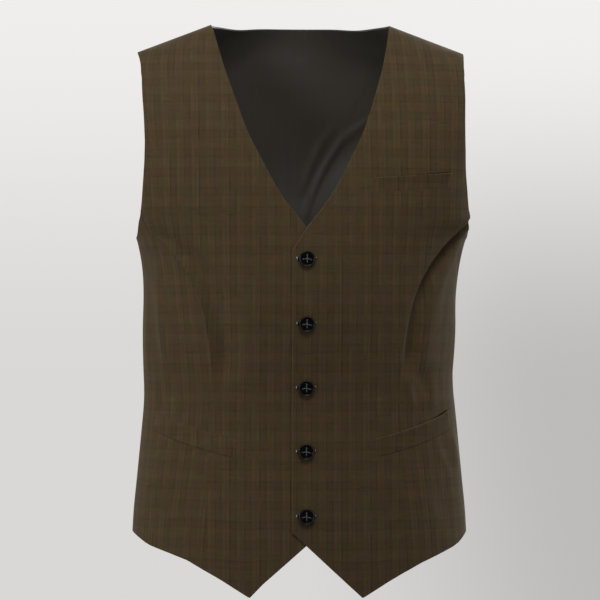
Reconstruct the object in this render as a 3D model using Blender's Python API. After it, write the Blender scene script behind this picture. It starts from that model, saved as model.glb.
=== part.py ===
"""Suit waistcoat, held in its worn shape with nobody inside it.

Metres, +Z up. The front faces -Y and the wearer's left is +X. The origin lies midway between
the two neck points, the highest points of the shoulder seams, where a wearer carries it.

Every piece of cloth lies on one general figure. The figure is a stack of level sections, each a
rounded oval with its own half width, front depth and back depth. A place on it is an x, a height
z and a face, FRONT or BACK. The cloth is a wall that runs inward from the figure's surface.
"""
import math

import bmesh
import bpy
from mathutils import Matrix, Vector

FRONT = -1
BACK = 1
LEFT = 1
RIGHT = -1
SIDE_NAMES = {LEFT: "left", RIGHT: "right"}
UP = Vector((0.0, 0.0, 1.0))

# Cloth, as sewn.
FRONT_WALL = 0.0020
BACK_WALL = 0.0014
LINING_WALL = 0.0010
SEAM_GAP = 0.0003

# Shoulders, armholes, neck and hem.
NECK_HALF = 0.1015
SHOULDER_HALF = 0.1848
SHOULDER_DROP = 0.032
BACK_NECK_RISE = 0.002
UNDERARM_Z = -0.243
ARMHOLE_MIDDLE_Z = (UNDERARM_Z - SHOULDER_DROP) / 2.0
ARMHOLE_HALF_HEIGHT = (-SHOULDER_DROP - UNDERARM_Z) / 2.0
NECK_BREAK_Z = -0.2585
OVERLAP = 0.0159
SIDE_HEM_Z = -0.5758
BACK_HEM_RISE = 0.014

# The figure's sections. A power of 2 is an ellipse, and a higher one is boxier. Between the neck
# points and the shoulder points the half width follows the straight shoulder seam instead.
SECTION_COLUMNS = ("z", "half_width", "front_depth", "back_depth", "front_power", "back_power")
SECTIONS = (
    (0.000, 0.1015, 0.0320, 0.0700, 1.90, 1.80),
    (-0.032, 0.1848, 0.0540, 0.0820, 2.20, 1.90),
    (-0.045, 0.1975, 0.0630, 0.0860, 2.50, 2.00),
    (-0.060, 0.2062, 0.0730, 0.0900, 2.80, 2.06),
    (-0.077, 0.2085, 0.0840, 0.0945, 3.10, 2.12),
    (-0.094, 0.2085, 0.0925, 0.0985, 3.30, 2.17),
    (-0.127, 0.2047, 0.1050, 0.1060, 3.40, 2.20),
    (-0.161, 0.2008, 0.1128, 0.1120, 3.20, 2.20),
    (-0.195, 0.1983, 0.1180, 0.1143, 3.00, 2.20),
    (-0.229, 0.1928, 0.1218, 0.1138, 2.60, 2.20),
    (-0.246, 0.1870, 0.1233, 0.1128, 2.45, 2.20),
    (-0.262, 0.1833, 0.1243, 0.1110, 2.35, 2.20),
    (-0.279, 0.1803, 0.1250, 0.1085, 2.30, 2.20),
    (-0.313, 0.1775, 0.1245, 0.1025, 2.25, 2.20),
    (-0.348, 0.1768, 0.1210, 0.0965, 2.20, 2.20),
    (-0.382, 0.1761, 0.1160, 0.0920, 2.20, 2.20),
    (-0.416, 0.1757, 0.1115, 0.0905, 2.20, 2.20),
    (-0.450, 0.1785, 0.1100, 0.0930, 2.20, 2.20),
    (-0.485, 0.1818, 0.1110, 0.0980, 2.20, 2.20),
    (-0.519, 0.1851, 0.1130, 0.1030, 2.20, 2.20),
    (-0.553, 0.1885, 0.1150, 0.1065, 2.20, 2.20),
    (-0.640, 0.1925, 0.1180, 0.1090, 2.20, 2.20),
)

# The armhole edge is an oval in the side view: its reach from the shoulder line, and how boxy
# its upper and lower halves are.
ARMHOLES = {
    FRONT: {"reach": 0.079, "top_power": 1.8, "foot_power": 2.8},
    BACK: {"reach": 0.065, "top_power": 2.3, "foot_power": 2.3},
}

# Edges in the front view, on the wearer's left. The right side mirrors them.
NECK_EDGE_COLUMNS = ("z", "x")
NECK_EDGE = (
    (0.0000, 0.1015),
    (-0.0506, 0.0893),
    (-0.0884, 0.0774),
    (-0.1252, 0.0648),
    (-0.1611, 0.0474),
    (-0.1968, 0.0280),
    (-0.2343, 0.0000),
    (-0.2585, -0.0159),
)
# The princess seam goes on upward to meet the armhole edge.
PRINCESS_COLUMNS = ("z", "x")
PRINCESS_SEAM = (
    (-0.2320, 0.1745),
    (-0.2555, 0.1530),
    (-0.2787, 0.1350),
    (-0.3068, 0.1205),
    (-0.3354, 0.1120),
    (-0.3684, 0.1070),
    (-0.4003, 0.1043),
    (-0.4278, 0.1055),
    (-0.5000, 0.1080),
    (-0.6127, 0.1120),
)
TIP_X = 0.0627
HEM_COLUMNS = ("x", "z")
HEM = (
    (-0.0159, -0.5692),
    (TIP_X, -0.6400),
    (0.0933, -0.6225),
    (0.1303, -0.6032),
    (0.1699, -0.5868),
    (0.1894, SIDE_HEM_Z),
)

# Mesh rows and columns.
ROWS_BELOW_BREAK = 15
ARMHOLE_ROWS = 16
PRINCESS_TOP_ROW = 4
EDGE_STRIPS = 4
FRONT_COLUMNS = 3
SIDE_STOPS = (0.0, 0.045, 0.09, 0.15, 0.23, 0.36, 0.54, 0.76, 1.0)
BACK_COLUMNS = 4
BACK_MIDDLE_X = 0.130
HEM_FADE_Z = -0.40

# Columns crowd towards the outer edge of a front, and of a back, in step with the sine of an
# angle that runs up to these. The steep part of a section is left out of a back's upper rows.
FRONT_CROWDING = math.radians(65.0)
BACK_CROWDING_LOW = math.radians(50.0)
BACK_CROWDING_TOP = math.radians(90.0)
UPPER_BACK_SHARE = 0.5
UPPER_BACK_MIDDLE_TURN = math.radians(40.0)
UPPER_BACK_OUTER_TURN = math.radians(60.0)

# Mesh finish.
MERGE_DISTANCE = 0.00001
NORMAL_STEP = 0.0005
CLOTH_SHARP_ANGLE = math.radians(50.0)
BUTTON_SHARP_ANGLE = math.radians(40.0)

# Soft folds, in metres round the figure from the centre front and in height. Each runs from
# its first place to its second, and swells to its depth halfway. A hollow's depth is negative.
GIRTH_PER_RADIAN = 0.16
FOLD_COLUMNS = ("side", "start_round", "start_z", "end_round", "end_z", "half_width", "depth")
FOLDS = (
    (LEFT, 0.140, -0.395, 0.150, -0.440, 0.012, 0.0030),
    (LEFT, 0.176, -0.440, 0.212, -0.520, 0.016, 0.0028),
    (LEFT, 0.150, -0.500, 0.165, -0.580, 0.018, -0.0018),
    (LEFT, 0.225, -0.300, 0.215, -0.420, 0.018, 0.0020),
    (RIGHT, 0.215, -0.290, 0.210, -0.430, 0.016, 0.0024),
    (RIGHT, 0.160, -0.470, 0.195, -0.560, 0.020, 0.0022),
    (RIGHT, 0.185, -0.400, 0.160, -0.450, 0.014, -0.0016),
    (LEFT, 0.300, -0.380, 0.430, -0.425, 0.014, 0.0028),
    (RIGHT, 0.310, -0.370, 0.420, -0.410, 0.013, 0.0024),
    (LEFT, 0.330, -0.440, 0.450, -0.455, 0.015, -0.0022),
    (RIGHT, 0.300, -0.430, 0.440, -0.450, 0.014, -0.0020),
    (RIGHT, 0.251, -0.265, 0.251, -0.455, 0.030, 0.0020),
    (LEFT, 0.251, -0.265, 0.251, -0.455, 0.030, -0.0014),
    (LEFT, 0.330, -0.090, 0.380, -0.200, 0.018, 0.0024),
    (RIGHT, 0.335, -0.100, 0.370, -0.190, 0.016, 0.0022),
    (LEFT, 0.400, -0.480, 0.385, -0.560, 0.018, 0.0020),
    (RIGHT, 0.360, -0.470, 0.375, -0.560, 0.020, 0.0020),
)

# The hollow that runs just outboard of each princess seam, and the ridge beyond it.
SEAM_HOLLOW_DEPTH = {LEFT: 0.0050, RIGHT: 0.0016}
SEAM_HOLLOW_AWAY = 0.010
SEAM_HOLLOW_HALF_WIDTH = 0.007
SEAM_RIDGE_SHARE = 0.45
SEAM_RIDGE_AWAY = 0.029
SEAM_RIDGE_HALF_WIDTH = 0.012
SEAM_HOLLOW_TOP_Z = -0.205
SEAM_HOLLOW_FULL_Z = -0.270
SEAM_HOLLOW_WANE_Z = -0.345
SEAM_HOLLOW_END_Z = -0.425

# The buttoned front: the wearer's left front lies on the right one.
FRONT_LIFT = FRONT_WALL + SEAM_GAP
LIFT_BLEND_WIDTH = 0.040
LIFT_TOP_Z = -0.150
LIFT_FULL_Z = -0.235
BUTTON_COUNT = 5
TOP_BUTTON_Z = -0.2684
BUTTON_SPACING = 0.0708
BUTTON_RADIUS = 0.0089
BUTTON_RIM_HEIGHT = 0.0036
BUTTON_RIM_WIDTH = 0.0016
BUTTON_DISH_DEPTH = 0.0009
BUTTON_EDGE_ROUND = 0.0009
BUTTON_SHANK_GAP = 0.0006
BUTTON_SIDES = 24

# Welts, by the ends of their centre lines in the front view.
WELT_WALL = 0.0016
CHEST_WELT = {"inner": (0.0724, -0.1868), "outer": (0.1622, -0.1798), "height": 0.0162, "lean": 0.0}
LOWER_WELT = {"inner": (0.0782, -0.4772), "outer": (0.1655, -0.4476), "height": 0.0205, "lean": 0.0042}
CHEST_WELT_GAPE = 0.0
LOWER_WELT_GAPE = 0.0030
WELT_COLUMNS = 10
WELT_ROWS = 2

MATERIALS = {
    "wool_check": ((0.052, 0.038, 0.021), 0.85, 0.0),
    "back_satin": ((0.022, 0.020, 0.018), 0.42, 0.0),
    "lining_satin": ((0.024, 0.022, 0.020), 0.38, 0.0),
    "button_black": ((0.008, 0.008, 0.009), 0.18, 0.0),
}


class Curve:
    """A smooth curve through (place, value) points that never overshoots them."""

    def __init__(self, points):
        points = sorted(points)
        self.places = [place for place, _ in points]
        self.values = [value for _, value in points]
        self.slopes = self.find_slopes()

    def find_slopes(self):
        runs = [b - a for a, b in zip(self.places, self.places[1:])]
        rises = [b - a for a, b in zip(self.values, self.values[1:])]
        steps = [rise / run for rise, run in zip(rises, runs)]
        slopes = [steps[0]]
        for before, after in zip(steps, steps[1:]):
            same_way = before * after > 0.0
            slopes.append(2.0 * before * after / (before + after) if same_way else 0.0)
        slopes.append(steps[-1])
        return slopes

    def at(self, place):
        if place <= self.places[0]:
            return self.values[0]
        if place >= self.places[-1]:
            return self.values[-1]
        k = 1
        while self.places[k] < place:
            k += 1
        run = self.places[k] - self.places[k - 1]
        t = (place - self.places[k - 1]) / run
        start_share = (1.0 + 2.0 * t) * (1.0 - t) ** 2
        start_lean = t * (1.0 - t) ** 2 * run
        end_lean = -t * t * (1.0 - t) * run
        return (start_share * self.values[k - 1] + (1.0 - start_share) * self.values[k]
                + start_lean * self.slopes[k - 1] + end_lean * self.slopes[k])


def pairs_of(table, columns, key, value):
    """The (place, value) pairs of two named columns of a table."""
    key_column = columns.index(key)
    value_column = columns.index(value)
    return [(row[key_column], row[value_column]) for row in table]


def curve_of(table, columns, key, value):
    """The curve of one named column of a table against another."""
    return Curve(pairs_of(table, columns, key, value))


HALF_WIDTH = curve_of(SECTIONS, SECTION_COLUMNS, "z", "half_width")
DEPTH = {
    FRONT: curve_of(SECTIONS, SECTION_COLUMNS, "z", "front_depth"),
    BACK: curve_of(SECTIONS, SECTION_COLUMNS, "z", "back_depth"),
}
POWER = {
    FRONT: curve_of(SECTIONS, SECTION_COLUMNS, "z", "front_power"),
    BACK: curve_of(SECTIONS, SECTION_COLUMNS, "z", "back_power"),
}
NECK_X = curve_of(NECK_EDGE, NECK_EDGE_COLUMNS, "z", "x")
HEM_LINE = pairs_of(HEM, HEM_COLUMNS, "x", "z")
PRINCESS_PLACES = pairs_of(PRINCESS_SEAM, PRINCESS_COLUMNS, "z", "x")


def mix(a, b, share):
    return a + (b - a) * share


def clamp(value, low=0.0, high=1.0):
    return max(low, min(high, value))


def ease(value):
    """A smooth step from 0 to 1 as value goes from 0 to 1."""
    value = clamp(value)
    return value * value * (3.0 - 2.0 * value)


def read_straight(pairs, place):
    """Read (place, value) pairs along the straight lines between them."""
    for (start, start_value), (end, end_value) in zip(pairs, pairs[1:]):
        if place <= end:
            return mix(start_value, end_value, clamp((place - start) / (end - start)))
    return pairs[-1][1]


# The figure.

def half_width(z):
    """Half the section's width; above the shoulder points it follows the shoulder seam."""
    if z > -SHOULDER_DROP:
        return mix(NECK_HALF, SHOULDER_HALF, -z / SHOULDER_DROP)
    return HALF_WIDTH.at(z)


def section_turn(x, z, face):
    """The angle round the section at a half width x: 0 at the centre, a quarter turn at the side."""
    share = clamp(abs(x) / half_width(z))
    return math.asin(share ** (POWER[face].at(z) / 2.0))


def section_x(turn, z, face):
    """The half width at an angle round the section."""
    return half_width(z) * math.sin(turn) ** (2.0 / POWER[face].at(z))


def figure_point(x, z, face):
    """The point of the figure's surface at a place."""
    power = POWER[face].at(z)
    share = clamp(abs(x) / half_width(z))
    return Vector((x, face * DEPTH[face].at(z) * (1.0 - share ** power) ** (1.0 / power), z))


def figure_level(x, y, z, face):
    """1 on the figure's surface, less inside it and more outside it."""
    power = POWER[face].at(z)
    return (abs(x) / half_width(z)) ** power + (abs(y) / DEPTH[face].at(z)) ** power


def figure_normal(point, face):
    """The outward direction at a point of the surface, square to the surface."""
    x, y, z = point
    power = POWER[face].at(z)
    above = figure_level(x, y, z + NORMAL_STEP, face)
    below = figure_level(x, y, z - NORMAL_STEP, face)
    across = power * abs(x) ** (power - 1.0) / half_width(z) ** power
    along = power * abs(y) ** (power - 1.0) / DEPTH[face].at(z) ** power
    rise = (above - below) / (2.0 * NORMAL_STEP)
    return Vector((math.copysign(across, x), face * along, rise)).normalized()


# Folds.

NAMED_FOLDS = [dict(zip(FOLD_COLUMNS, row)) for row in FOLDS]


def round_the_figure(x, z, face):
    """The way round the figure from the centre front, in metres."""
    turn = section_turn(x, z, face)
    return GIRTH_PER_RADIAN * (turn if face == FRONT else math.pi - turn)


def swell(distance, half_width_of_fold):
    """1 on a fold's line, falling away smoothly on both sides of it."""
    return math.exp(-(distance / half_width_of_fold) ** 2)


def fold_height(fold, side, way_round, z):
    """How far one fold moves the cloth outward at a place."""
    if fold["side"] != side:
        return 0.0
    run_round = fold["end_round"] - fold["start_round"]
    run_z = fold["end_z"] - fold["start_z"]
    length = math.hypot(run_round, run_z)
    away_round = way_round - fold["start_round"]
    away_z = z - fold["start_z"]
    along = (away_round * run_round + away_z * run_z) / length ** 2
    across = (away_round * run_z - away_z * run_round) / length
    taper = math.sin(math.pi * clamp(along)) ** 2
    return fold["depth"] * taper * swell(across, fold["half_width"])


def seam_hollow(side, way_round, z):
    """The hollow along a princess seam, with the ridge outboard of it."""
    rising = ease((SEAM_HOLLOW_TOP_Z - z) / (SEAM_HOLLOW_TOP_Z - SEAM_HOLLOW_FULL_Z))
    waning = ease((SEAM_HOLLOW_WANE_Z - z) / (SEAM_HOLLOW_WANE_Z - SEAM_HOLLOW_END_Z))
    strength = rising * (1.0 - waning) * SEAM_HOLLOW_DEPTH[side]
    if strength == 0.0:
        return 0.0
    outboard = way_round - round_the_figure(PRINCESS_X.at(z), z, FRONT)
    hollow = swell(outboard - SEAM_HOLLOW_AWAY, SEAM_HOLLOW_HALF_WIDTH)
    ridge = swell(outboard - SEAM_RIDGE_AWAY, SEAM_RIDGE_HALF_WIDTH)
    return strength * (SEAM_RIDGE_SHARE * ridge - hollow)


def folds_at(x, z, face):
    """How far all the folds together move the cloth outward at a place."""
    side = LEFT if x > 0.0 else RIGHT
    way_round = round_the_figure(x, z, face)
    total = seam_hollow(side, way_round, z)
    for fold in NAMED_FOLDS:
        total += fold_height(fold, side, way_round, z)
    return total


def cloth_point(x, z, face, out=0.0):
    """A point of the worn cloth, moved out from its surface by out."""
    point = figure_point(x, z, face)
    normal = figure_normal(point, face)
    if point.y == 0.0:
        point.y = face * SEAM_GAP / 2.0
    return point + normal * (folds_at(x, z, face) + out)


def slide_to_front(x, z, face, distance):
    """A level step along the surface towards the centre front."""
    normal = figure_normal(figure_point(x, z, face), face)
    return normal.cross(UP).normalized() * math.copysign(distance, x)


# The grid of places that each panel is made from.

def armhole_heights():
    """Heights up the armhole edge from the underarm to the shoulder point, close at both ends."""
    heights = []
    for k in range(ARMHOLE_ROWS + 1):
        cosine = -math.cos(math.pi * k / ARMHOLE_ROWS)
        rise = math.copysign(abs(cosine) ** (2.0 / ARMHOLES[BACK]["top_power"]), cosine)
        heights.append(ARMHOLE_MIDDLE_Z + ARMHOLE_HALF_HEIGHT * rise)
    return heights


def armhole_x(z, face):
    """Half width of the armhole edge at a height, where its oval meets the figure."""
    oval_power = ARMHOLES[face]["top_power" if z > ARMHOLE_MIDDLE_Z else "foot_power"]
    rise = clamp(abs(z - ARMHOLE_MIDDLE_Z) / ARMHOLE_HALF_HEIGHT)
    y = ARMHOLES[face]["reach"] * (1.0 - rise ** oval_power) ** (1.0 / oval_power)
    power = POWER[face].at(z)
    return half_width(z) * (1.0 - (y / DEPTH[face].at(z)) ** power) ** (1.0 / power)


def princess_curve():
    """The princess seam's half width by height, with its top on the armhole edge."""
    top_z = armhole_heights()[PRINCESS_TOP_ROW]
    return Curve(PRINCESS_PLACES + [(top_z, armhole_x(top_z, FRONT))])


PRINCESS_X = princess_curve()


def row_heights():
    """Side heights of the rows, from the hem up to the shoulder point."""
    step = (NECK_BREAK_Z - SIDE_HEM_Z) / ROWS_BELOW_BREAK
    below = [SIDE_HEM_Z + step * k for k in range(ROWS_BELOW_BREAK + 1)]
    return below + armhole_heights()


def shoulder_share(side_z):
    """0 at the underarm and below it, 1 at the shoulder seam."""
    return clamp((side_z - UNDERARM_Z) / (-SHOULDER_DROP - UNDERARM_Z))


def height_at(x, outer_x, side_z):
    """Rows are level up to the underarm, then fan out to meet the sloping shoulder."""
    slope_share = clamp((abs(x) - NECK_HALF) / (outer_x - NECK_HALF))
    return side_z + SHOULDER_DROP * shoulder_share(side_z) * (1.0 - slope_share)


def hem_share(z):
    return clamp((HEM_FADE_Z - z) / (HEM_FADE_Z - SIDE_HEM_Z))


def front_hem_height(x, z):
    """Lowers a level row so that the last one follows the pointed hem."""
    return z + hem_share(z) * (read_straight(HEM_LINE, x) - SIDE_HEM_Z)


def back_hem_height(x, z):
    rise = BACK_HEM_RISE * (1.0 - (abs(x) / half_width(z)) ** 2)
    return z + hem_share(z) * rise


def front_row(side_z, joins_side):
    """Places across a front from its edge to the princess seam or the armhole."""
    inner_z = side_z + SHOULDER_DROP * shoulder_share(side_z)
    inner_x = NECK_X.at(inner_z)
    seam_z = front_hem_height(PRINCESS_X.at(side_z), side_z)
    outer_x = PRINCESS_X.at(seam_z) if joins_side else armhole_x(side_z, FRONT)
    strip = 2.0 * OVERLAP / EDGE_STRIPS
    strips_end = inner_x + 2.0 * OVERLAP
    tip_share = (TIP_X - OVERLAP) / (PRINCESS_PLACES[-1][1] - OVERLAP)
    middle_x = mix(strips_end, outer_x, tip_share)
    xs = [inner_x + strip * k for k in range(EDGE_STRIPS)]
    xs += [mix(strips_end, middle_x, k / FRONT_COLUMNS) for k in range(FRONT_COLUMNS)]
    for k in range(FRONT_COLUMNS + 1):
        share = math.sin(FRONT_CROWDING * k / FRONT_COLUMNS) / math.sin(FRONT_CROWDING)
        xs.append(mix(middle_x, outer_x, share))
    row = [(x, front_hem_height(x, height_at(x, outer_x, side_z))) for x in xs]
    if joins_side:
        row[-1] = (outer_x, seam_z)
    return row


def side_row(side_z, last_x):
    """Places across a side panel from the princess seam to the side seam or the armhole."""
    seam_z = front_hem_height(PRINCESS_X.at(side_z), side_z)
    first_turn = section_turn(PRINCESS_X.at(seam_z), seam_z, FRONT)
    last_turn = math.pi / 2.0 if last_x is None else section_turn(last_x, side_z, FRONT)
    row = []
    for stop in SIDE_STOPS:
        turn = mix(first_turn, last_turn, stop)
        z = front_hem_height(section_x(turn, side_z, FRONT), side_z)
        row.append((section_x(turn, z, FRONT), z))
    row[0] = (PRINCESS_X.at(seam_z), seam_z)
    return row


def back_row(side_z):
    """Places across half the back from the centre back to the side seam or the armhole."""
    share = shoulder_share(side_z)
    outer_x = armhole_x(side_z, BACK) if share > 0.0 else half_width(side_z)
    middle_x = mix(BACK_MIDDLE_X, NECK_HALF, share)
    middle_turn = section_turn(middle_x, height_at(middle_x, outer_x, side_z), BACK)
    outer_turn = section_turn(outer_x, side_z, BACK)
    widest = mix(BACK_CROWDING_LOW, BACK_CROWDING_TOP, share ** 2)
    row_xs = []
    for k in range(BACK_COLUMNS):
        row_xs.append(middle_x * math.sin(widest * k / BACK_COLUMNS) / math.sin(widest))
    if share > UPPER_BACK_SHARE:
        middle_turn = min(middle_turn, UPPER_BACK_MIDDLE_TURN)
        outer_turn = min(outer_turn, UPPER_BACK_OUTER_TURN)
    first = section_x(middle_turn, side_z, BACK)
    last = section_x(outer_turn, side_z, BACK)
    for k in range(BACK_COLUMNS + 1):
        turn = mix(middle_turn, outer_turn, k / BACK_COLUMNS)
        row_xs.append(mix(middle_x, outer_x, (section_x(turn, side_z, BACK) - first) / (last - first)))
    row = []
    for x in row_xs:
        rise = BACK_NECK_RISE * share ** 4 * clamp(1.0 - (x / NECK_HALF) ** 2)
        row.append((x, back_hem_height(x, height_at(x, outer_x, side_z) + rise)))
    if share == 0.0:
        row[-1] = (half_width(row[-1][1]), row[-1][1])
    return row


# Solids.

def new_object(name, mesh, material):
    mesh.materials.append(material)
    obj = bpy.data.objects.new(name, mesh)
    bpy.context.scene.collection.objects.link(obj)
    return obj


def finish_mesh(bm, name, sharp_angle):
    bmesh.ops.remove_doubles(bm, verts=bm.verts, dist=MERGE_DISTANCE)
    bmesh.ops.recalc_face_normals(bm, faces=bm.faces)
    mesh = bpy.data.meshes.new(name)
    bm.to_mesh(mesh)
    bm.free()
    mesh.shade_smooth()
    mesh.set_sharp_from_angle(angle=sharp_angle)
    return mesh


def grid_edge(rows, columns):
    """The row and column of each point round the edge of a grid, in order."""
    edge = [(0, c) for c in range(columns)]
    edge += [(r, columns - 1) for r in range(1, rows)]
    edge += [(rows - 1, c) for c in range(columns - 2, -1, -1)]
    edge += [(r, 0) for r in range(rows - 2, 0, -1)]
    return edge


def wall_between(name, outer, inner, material):
    """A closed wall between two grids of points that have the same rows and columns.

    Each cell is split along the diagonal that rises towards +X, so that the facets of walls
    that lie on each other run the same way on both sides of the garment.
    """
    bm = bmesh.new()
    outside = [[bm.verts.new(point) for point in row] for row in outer]
    inside = [[bm.verts.new(point) for point in row] for row in inner]
    rows = len(outside)
    columns = len(outside[0])
    runs_to_left = outer[0][-1].x > outer[0][0].x
    for r in range(rows - 1):
        for c in range(columns - 1):
            near, far = (c, c + 1) if runs_to_left else (c + 1, c)
            for grid in (outside, inside):
                bm.faces.new((grid[r][near], grid[r][far], grid[r + 1][far]))
                bm.faces.new((grid[r][near], grid[r + 1][far], grid[r + 1][near]))
    edge = grid_edge(rows, columns)
    for start, end in zip(edge, edge[1:] + edge[:1]):
        (r0, c0), (r1, c1) = min(start, end), max(start, end)
        bm.faces.new((outside[r0][c0], outside[r1][c1], inside[r1][c1]))
        bm.faces.new((outside[r0][c0], inside[r1][c1], inside[r0][c0]))
    return new_object(name, finish_mesh(bm, name, CLOTH_SHARP_ANGLE), material)


def cloth_grid(rows, side, face, out, lift, first_shift, last_shift):
    """Cloth points for rows of places, with each end column slid to leave its seam gap."""
    grid = []
    for row in rows:
        points = [cloth_point(side * x, z, face, out + lift(x, z)) for x, z in row]
        for column, shift in ((0, first_shift), (-1, last_shift)):
            x, z = row[column]
            if shift:
                points[column] += slide_to_front(side * x, z, face, shift)
        grid.append(points)
    return grid


def no_lift(x, z):
    return 0.0


def left_front_lift(x, z):
    """The left front lies on the right one, and settles back onto the figure outboard of it."""
    across = 1.0 - ease((x - OVERLAP) / LIFT_BLEND_WIDTH)
    upward = 1.0 - ease((z - LIFT_FULL_Z) / (LIFT_TOP_Z - LIFT_FULL_Z))
    return FRONT_LIFT * across * upward


def make_panel(name, rows, side, face, wall, material, out=0.0, lift=no_lift, shifts=(0.0, 0.0)):
    outer = cloth_grid(rows, side, face, out, lift, *shifts)
    inner = cloth_grid(rows, side, face, out - wall, lift, *shifts)
    return wall_between(name, outer, inner, material)


def make_front(side, material):
    heights = row_heights()
    princess_top = ROWS_BELOW_BREAK + 1 + PRINCESS_TOP_ROW
    rows = [front_row(z, k <= princess_top) for k, z in enumerate(heights)]
    lift = left_front_lift if side == LEFT else no_lift
    shifts = (0.0, SEAM_GAP / 2.0)
    name = "front_" + SIDE_NAMES[side]
    make_panel(name, rows, side, FRONT, FRONT_WALL, material, lift=lift, shifts=shifts)


def make_side(side, material):
    heights = row_heights()
    underarm_row = ROWS_BELOW_BREAK + 1
    rows = []
    for k, z in enumerate(heights[:underarm_row + PRINCESS_TOP_ROW + 1]):
        last_x = armhole_x(z, FRONT) if k > underarm_row else None
        rows.append(side_row(z, last_x))
    top_x, top_z = rows[-1][0]
    rows[-1] = [(top_x, top_z)] * len(SIDE_STOPS)
    shifts = (-SEAM_GAP / 2.0, 0.0)
    outer = cloth_grid(rows, side, FRONT, 0.0, no_lift, *shifts)
    inner = cloth_grid(rows, side, FRONT, -FRONT_WALL, no_lift, *shifts)
    for grid in (outer, inner):
        grid[-1] = [grid[-1][0]] * len(SIDE_STOPS)
    wall_between("side_" + SIDE_NAMES[side], outer, inner, material)


def make_back(side, material):
    rows = [back_row(z) for z in row_heights()]
    shifts = (SEAM_GAP / 2.0, 0.0)
    make_panel("back_" + SIDE_NAMES[side], rows, side, BACK, BACK_WALL, material, shifts=shifts)


def make_back_lining(material):
    rows = []
    for z in row_heights():
        half = back_row(z)
        rows.append([(-x, height) for x, height in reversed(half[1:])] + half)
    out = -BACK_WALL - SEAM_GAP
    make_panel("back_lining", rows, LEFT, BACK, LINING_WALL, material, out)


def make_welt(name, side, welt, gape, material):
    """A strip that lies on the front, its upper edge standing off by gape at the outer end."""
    inner_x, inner_z = welt["inner"]
    outer_x, outer_z = welt["outer"]
    inner_turn = section_turn(inner_x, inner_z, FRONT)
    outer_turn = section_turn(outer_x, outer_z, FRONT)
    outer_grid = []
    inner_grid = []
    for r in range(WELT_ROWS + 1):
        up = r / WELT_ROWS
        outer_points = []
        inner_points = []
        for c in range(WELT_COLUMNS + 1):
            across = c / WELT_COLUMNS
            middle_z = mix(inner_z, outer_z, across)
            middle_x = section_x(mix(inner_turn, outer_turn, across), middle_z, FRONT)
            x = middle_x - welt["lean"] * (up - 0.5)
            z = middle_z + welt["height"] * (up - 0.5)
            out = SEAM_GAP + gape * up ** 2 * across ** 3
            if side == LEFT:
                out += left_front_lift(x, z)
            outer_points.append(cloth_point(side * x, z, FRONT, out + WELT_WALL))
            inner_points.append(cloth_point(side * x, z, FRONT, out))
        outer_grid.append(outer_points)
        inner_grid.append(inner_points)
    wall_between(name, outer_grid, inner_grid, material)


def button_profile():
    """Radius and height up one side of a button, from its back to the middle of its dish."""
    dish_radius = BUTTON_RADIUS - BUTTON_RIM_WIDTH
    dish_floor = BUTTON_RIM_HEIGHT - BUTTON_DISH_DEPTH
    return (
        (BUTTON_RADIUS - BUTTON_EDGE_ROUND, 0.0),
        (BUTTON_RADIUS, BUTTON_EDGE_ROUND),
        (BUTTON_RADIUS, BUTTON_RIM_HEIGHT - BUTTON_EDGE_ROUND),
        (BUTTON_RADIUS - BUTTON_RIM_WIDTH / 2.0, BUTTON_RIM_HEIGHT),
        (dish_radius, dish_floor + BUTTON_DISH_DEPTH / 3.0),
        (dish_radius / 2.0, dish_floor),
    )


def make_button(name, z, material):
    bm = bmesh.new()
    rings = []
    for radius, height in button_profile():
        ring = []
        for k in range(BUTTON_SIDES):
            angle = 2.0 * math.pi * k / BUTTON_SIDES
            ring.append(bm.verts.new((radius * math.cos(angle), radius * math.sin(angle), height)))
        rings.append(ring)
    for low, high in zip(rings, rings[1:]):
        for k in range(BUTTON_SIDES):
            after = (k + 1) % BUTTON_SIDES
            bm.faces.new((low[k], low[after], high[after], high[k]))
    bm.faces.new(rings[0])
    bm.faces.new(rings[-1])
    button = new_object(name, finish_mesh(bm, name, BUTTON_SHARP_ANGLE), material)
    normal = figure_normal(figure_point(0.0, z, FRONT), FRONT)
    across = Vector((1.0, 0.0, 0.0))
    upward = normal.cross(across)
    turn = Matrix((across, upward, normal)).transposed().to_4x4()
    seat = cloth_point(0.0, z, FRONT, FRONT_LIFT + BUTTON_SHANK_GAP)
    button.matrix_world = Matrix.Translation(seat) @ turn


def make_material(name):
    color, roughness, metallic = MATERIALS[name]
    material = bpy.data.materials.new(name)
    material.use_nodes = True
    shader = material.node_tree.nodes["Principled BSDF"]
    shader.inputs["Base Color"].default_value = (*color, 1.0)
    shader.inputs["Roughness"].default_value = roughness
    shader.inputs["Metallic"].default_value = metallic
    return material


def main():
    for obj in list(bpy.data.objects):
        bpy.data.objects.remove(obj)
    wool = make_material("wool_check")
    back_satin = make_material("back_satin")
    lining_satin = make_material("lining_satin")
    button_black = make_material("button_black")
    for side in (LEFT, RIGHT):
        make_front(side, wool)
        make_side(side, wool)
        make_back(side, back_satin)
        make_welt("lower_welt_" + SIDE_NAMES[side], side, LOWER_WELT, LOWER_WELT_GAPE, wool)
    make_back_lining(lining_satin)
    make_welt("chest_welt", LEFT, CHEST_WELT, CHEST_WELT_GAPE, wool)
    for k in range(BUTTON_COUNT):
        make_button("button_" + str(k + 1), TOP_BUTTON_Z - BUTTON_SPACING * k, button_black)


main()
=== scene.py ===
"""Suit waistcoat: its looks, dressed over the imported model.

Metres, +Z up, in the model's own frame: the front faces -Y, the wearer's left is +X, and the
origin lies midway between the two neck points. Each piece of cloth is a thin shell on the same
figure as its solid, on a finer grid, with rolled edges, soft creases and a woven check.
"""
import math

import bmesh
import bpy
import numpy as np
from mathutils import Matrix, Vector


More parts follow.
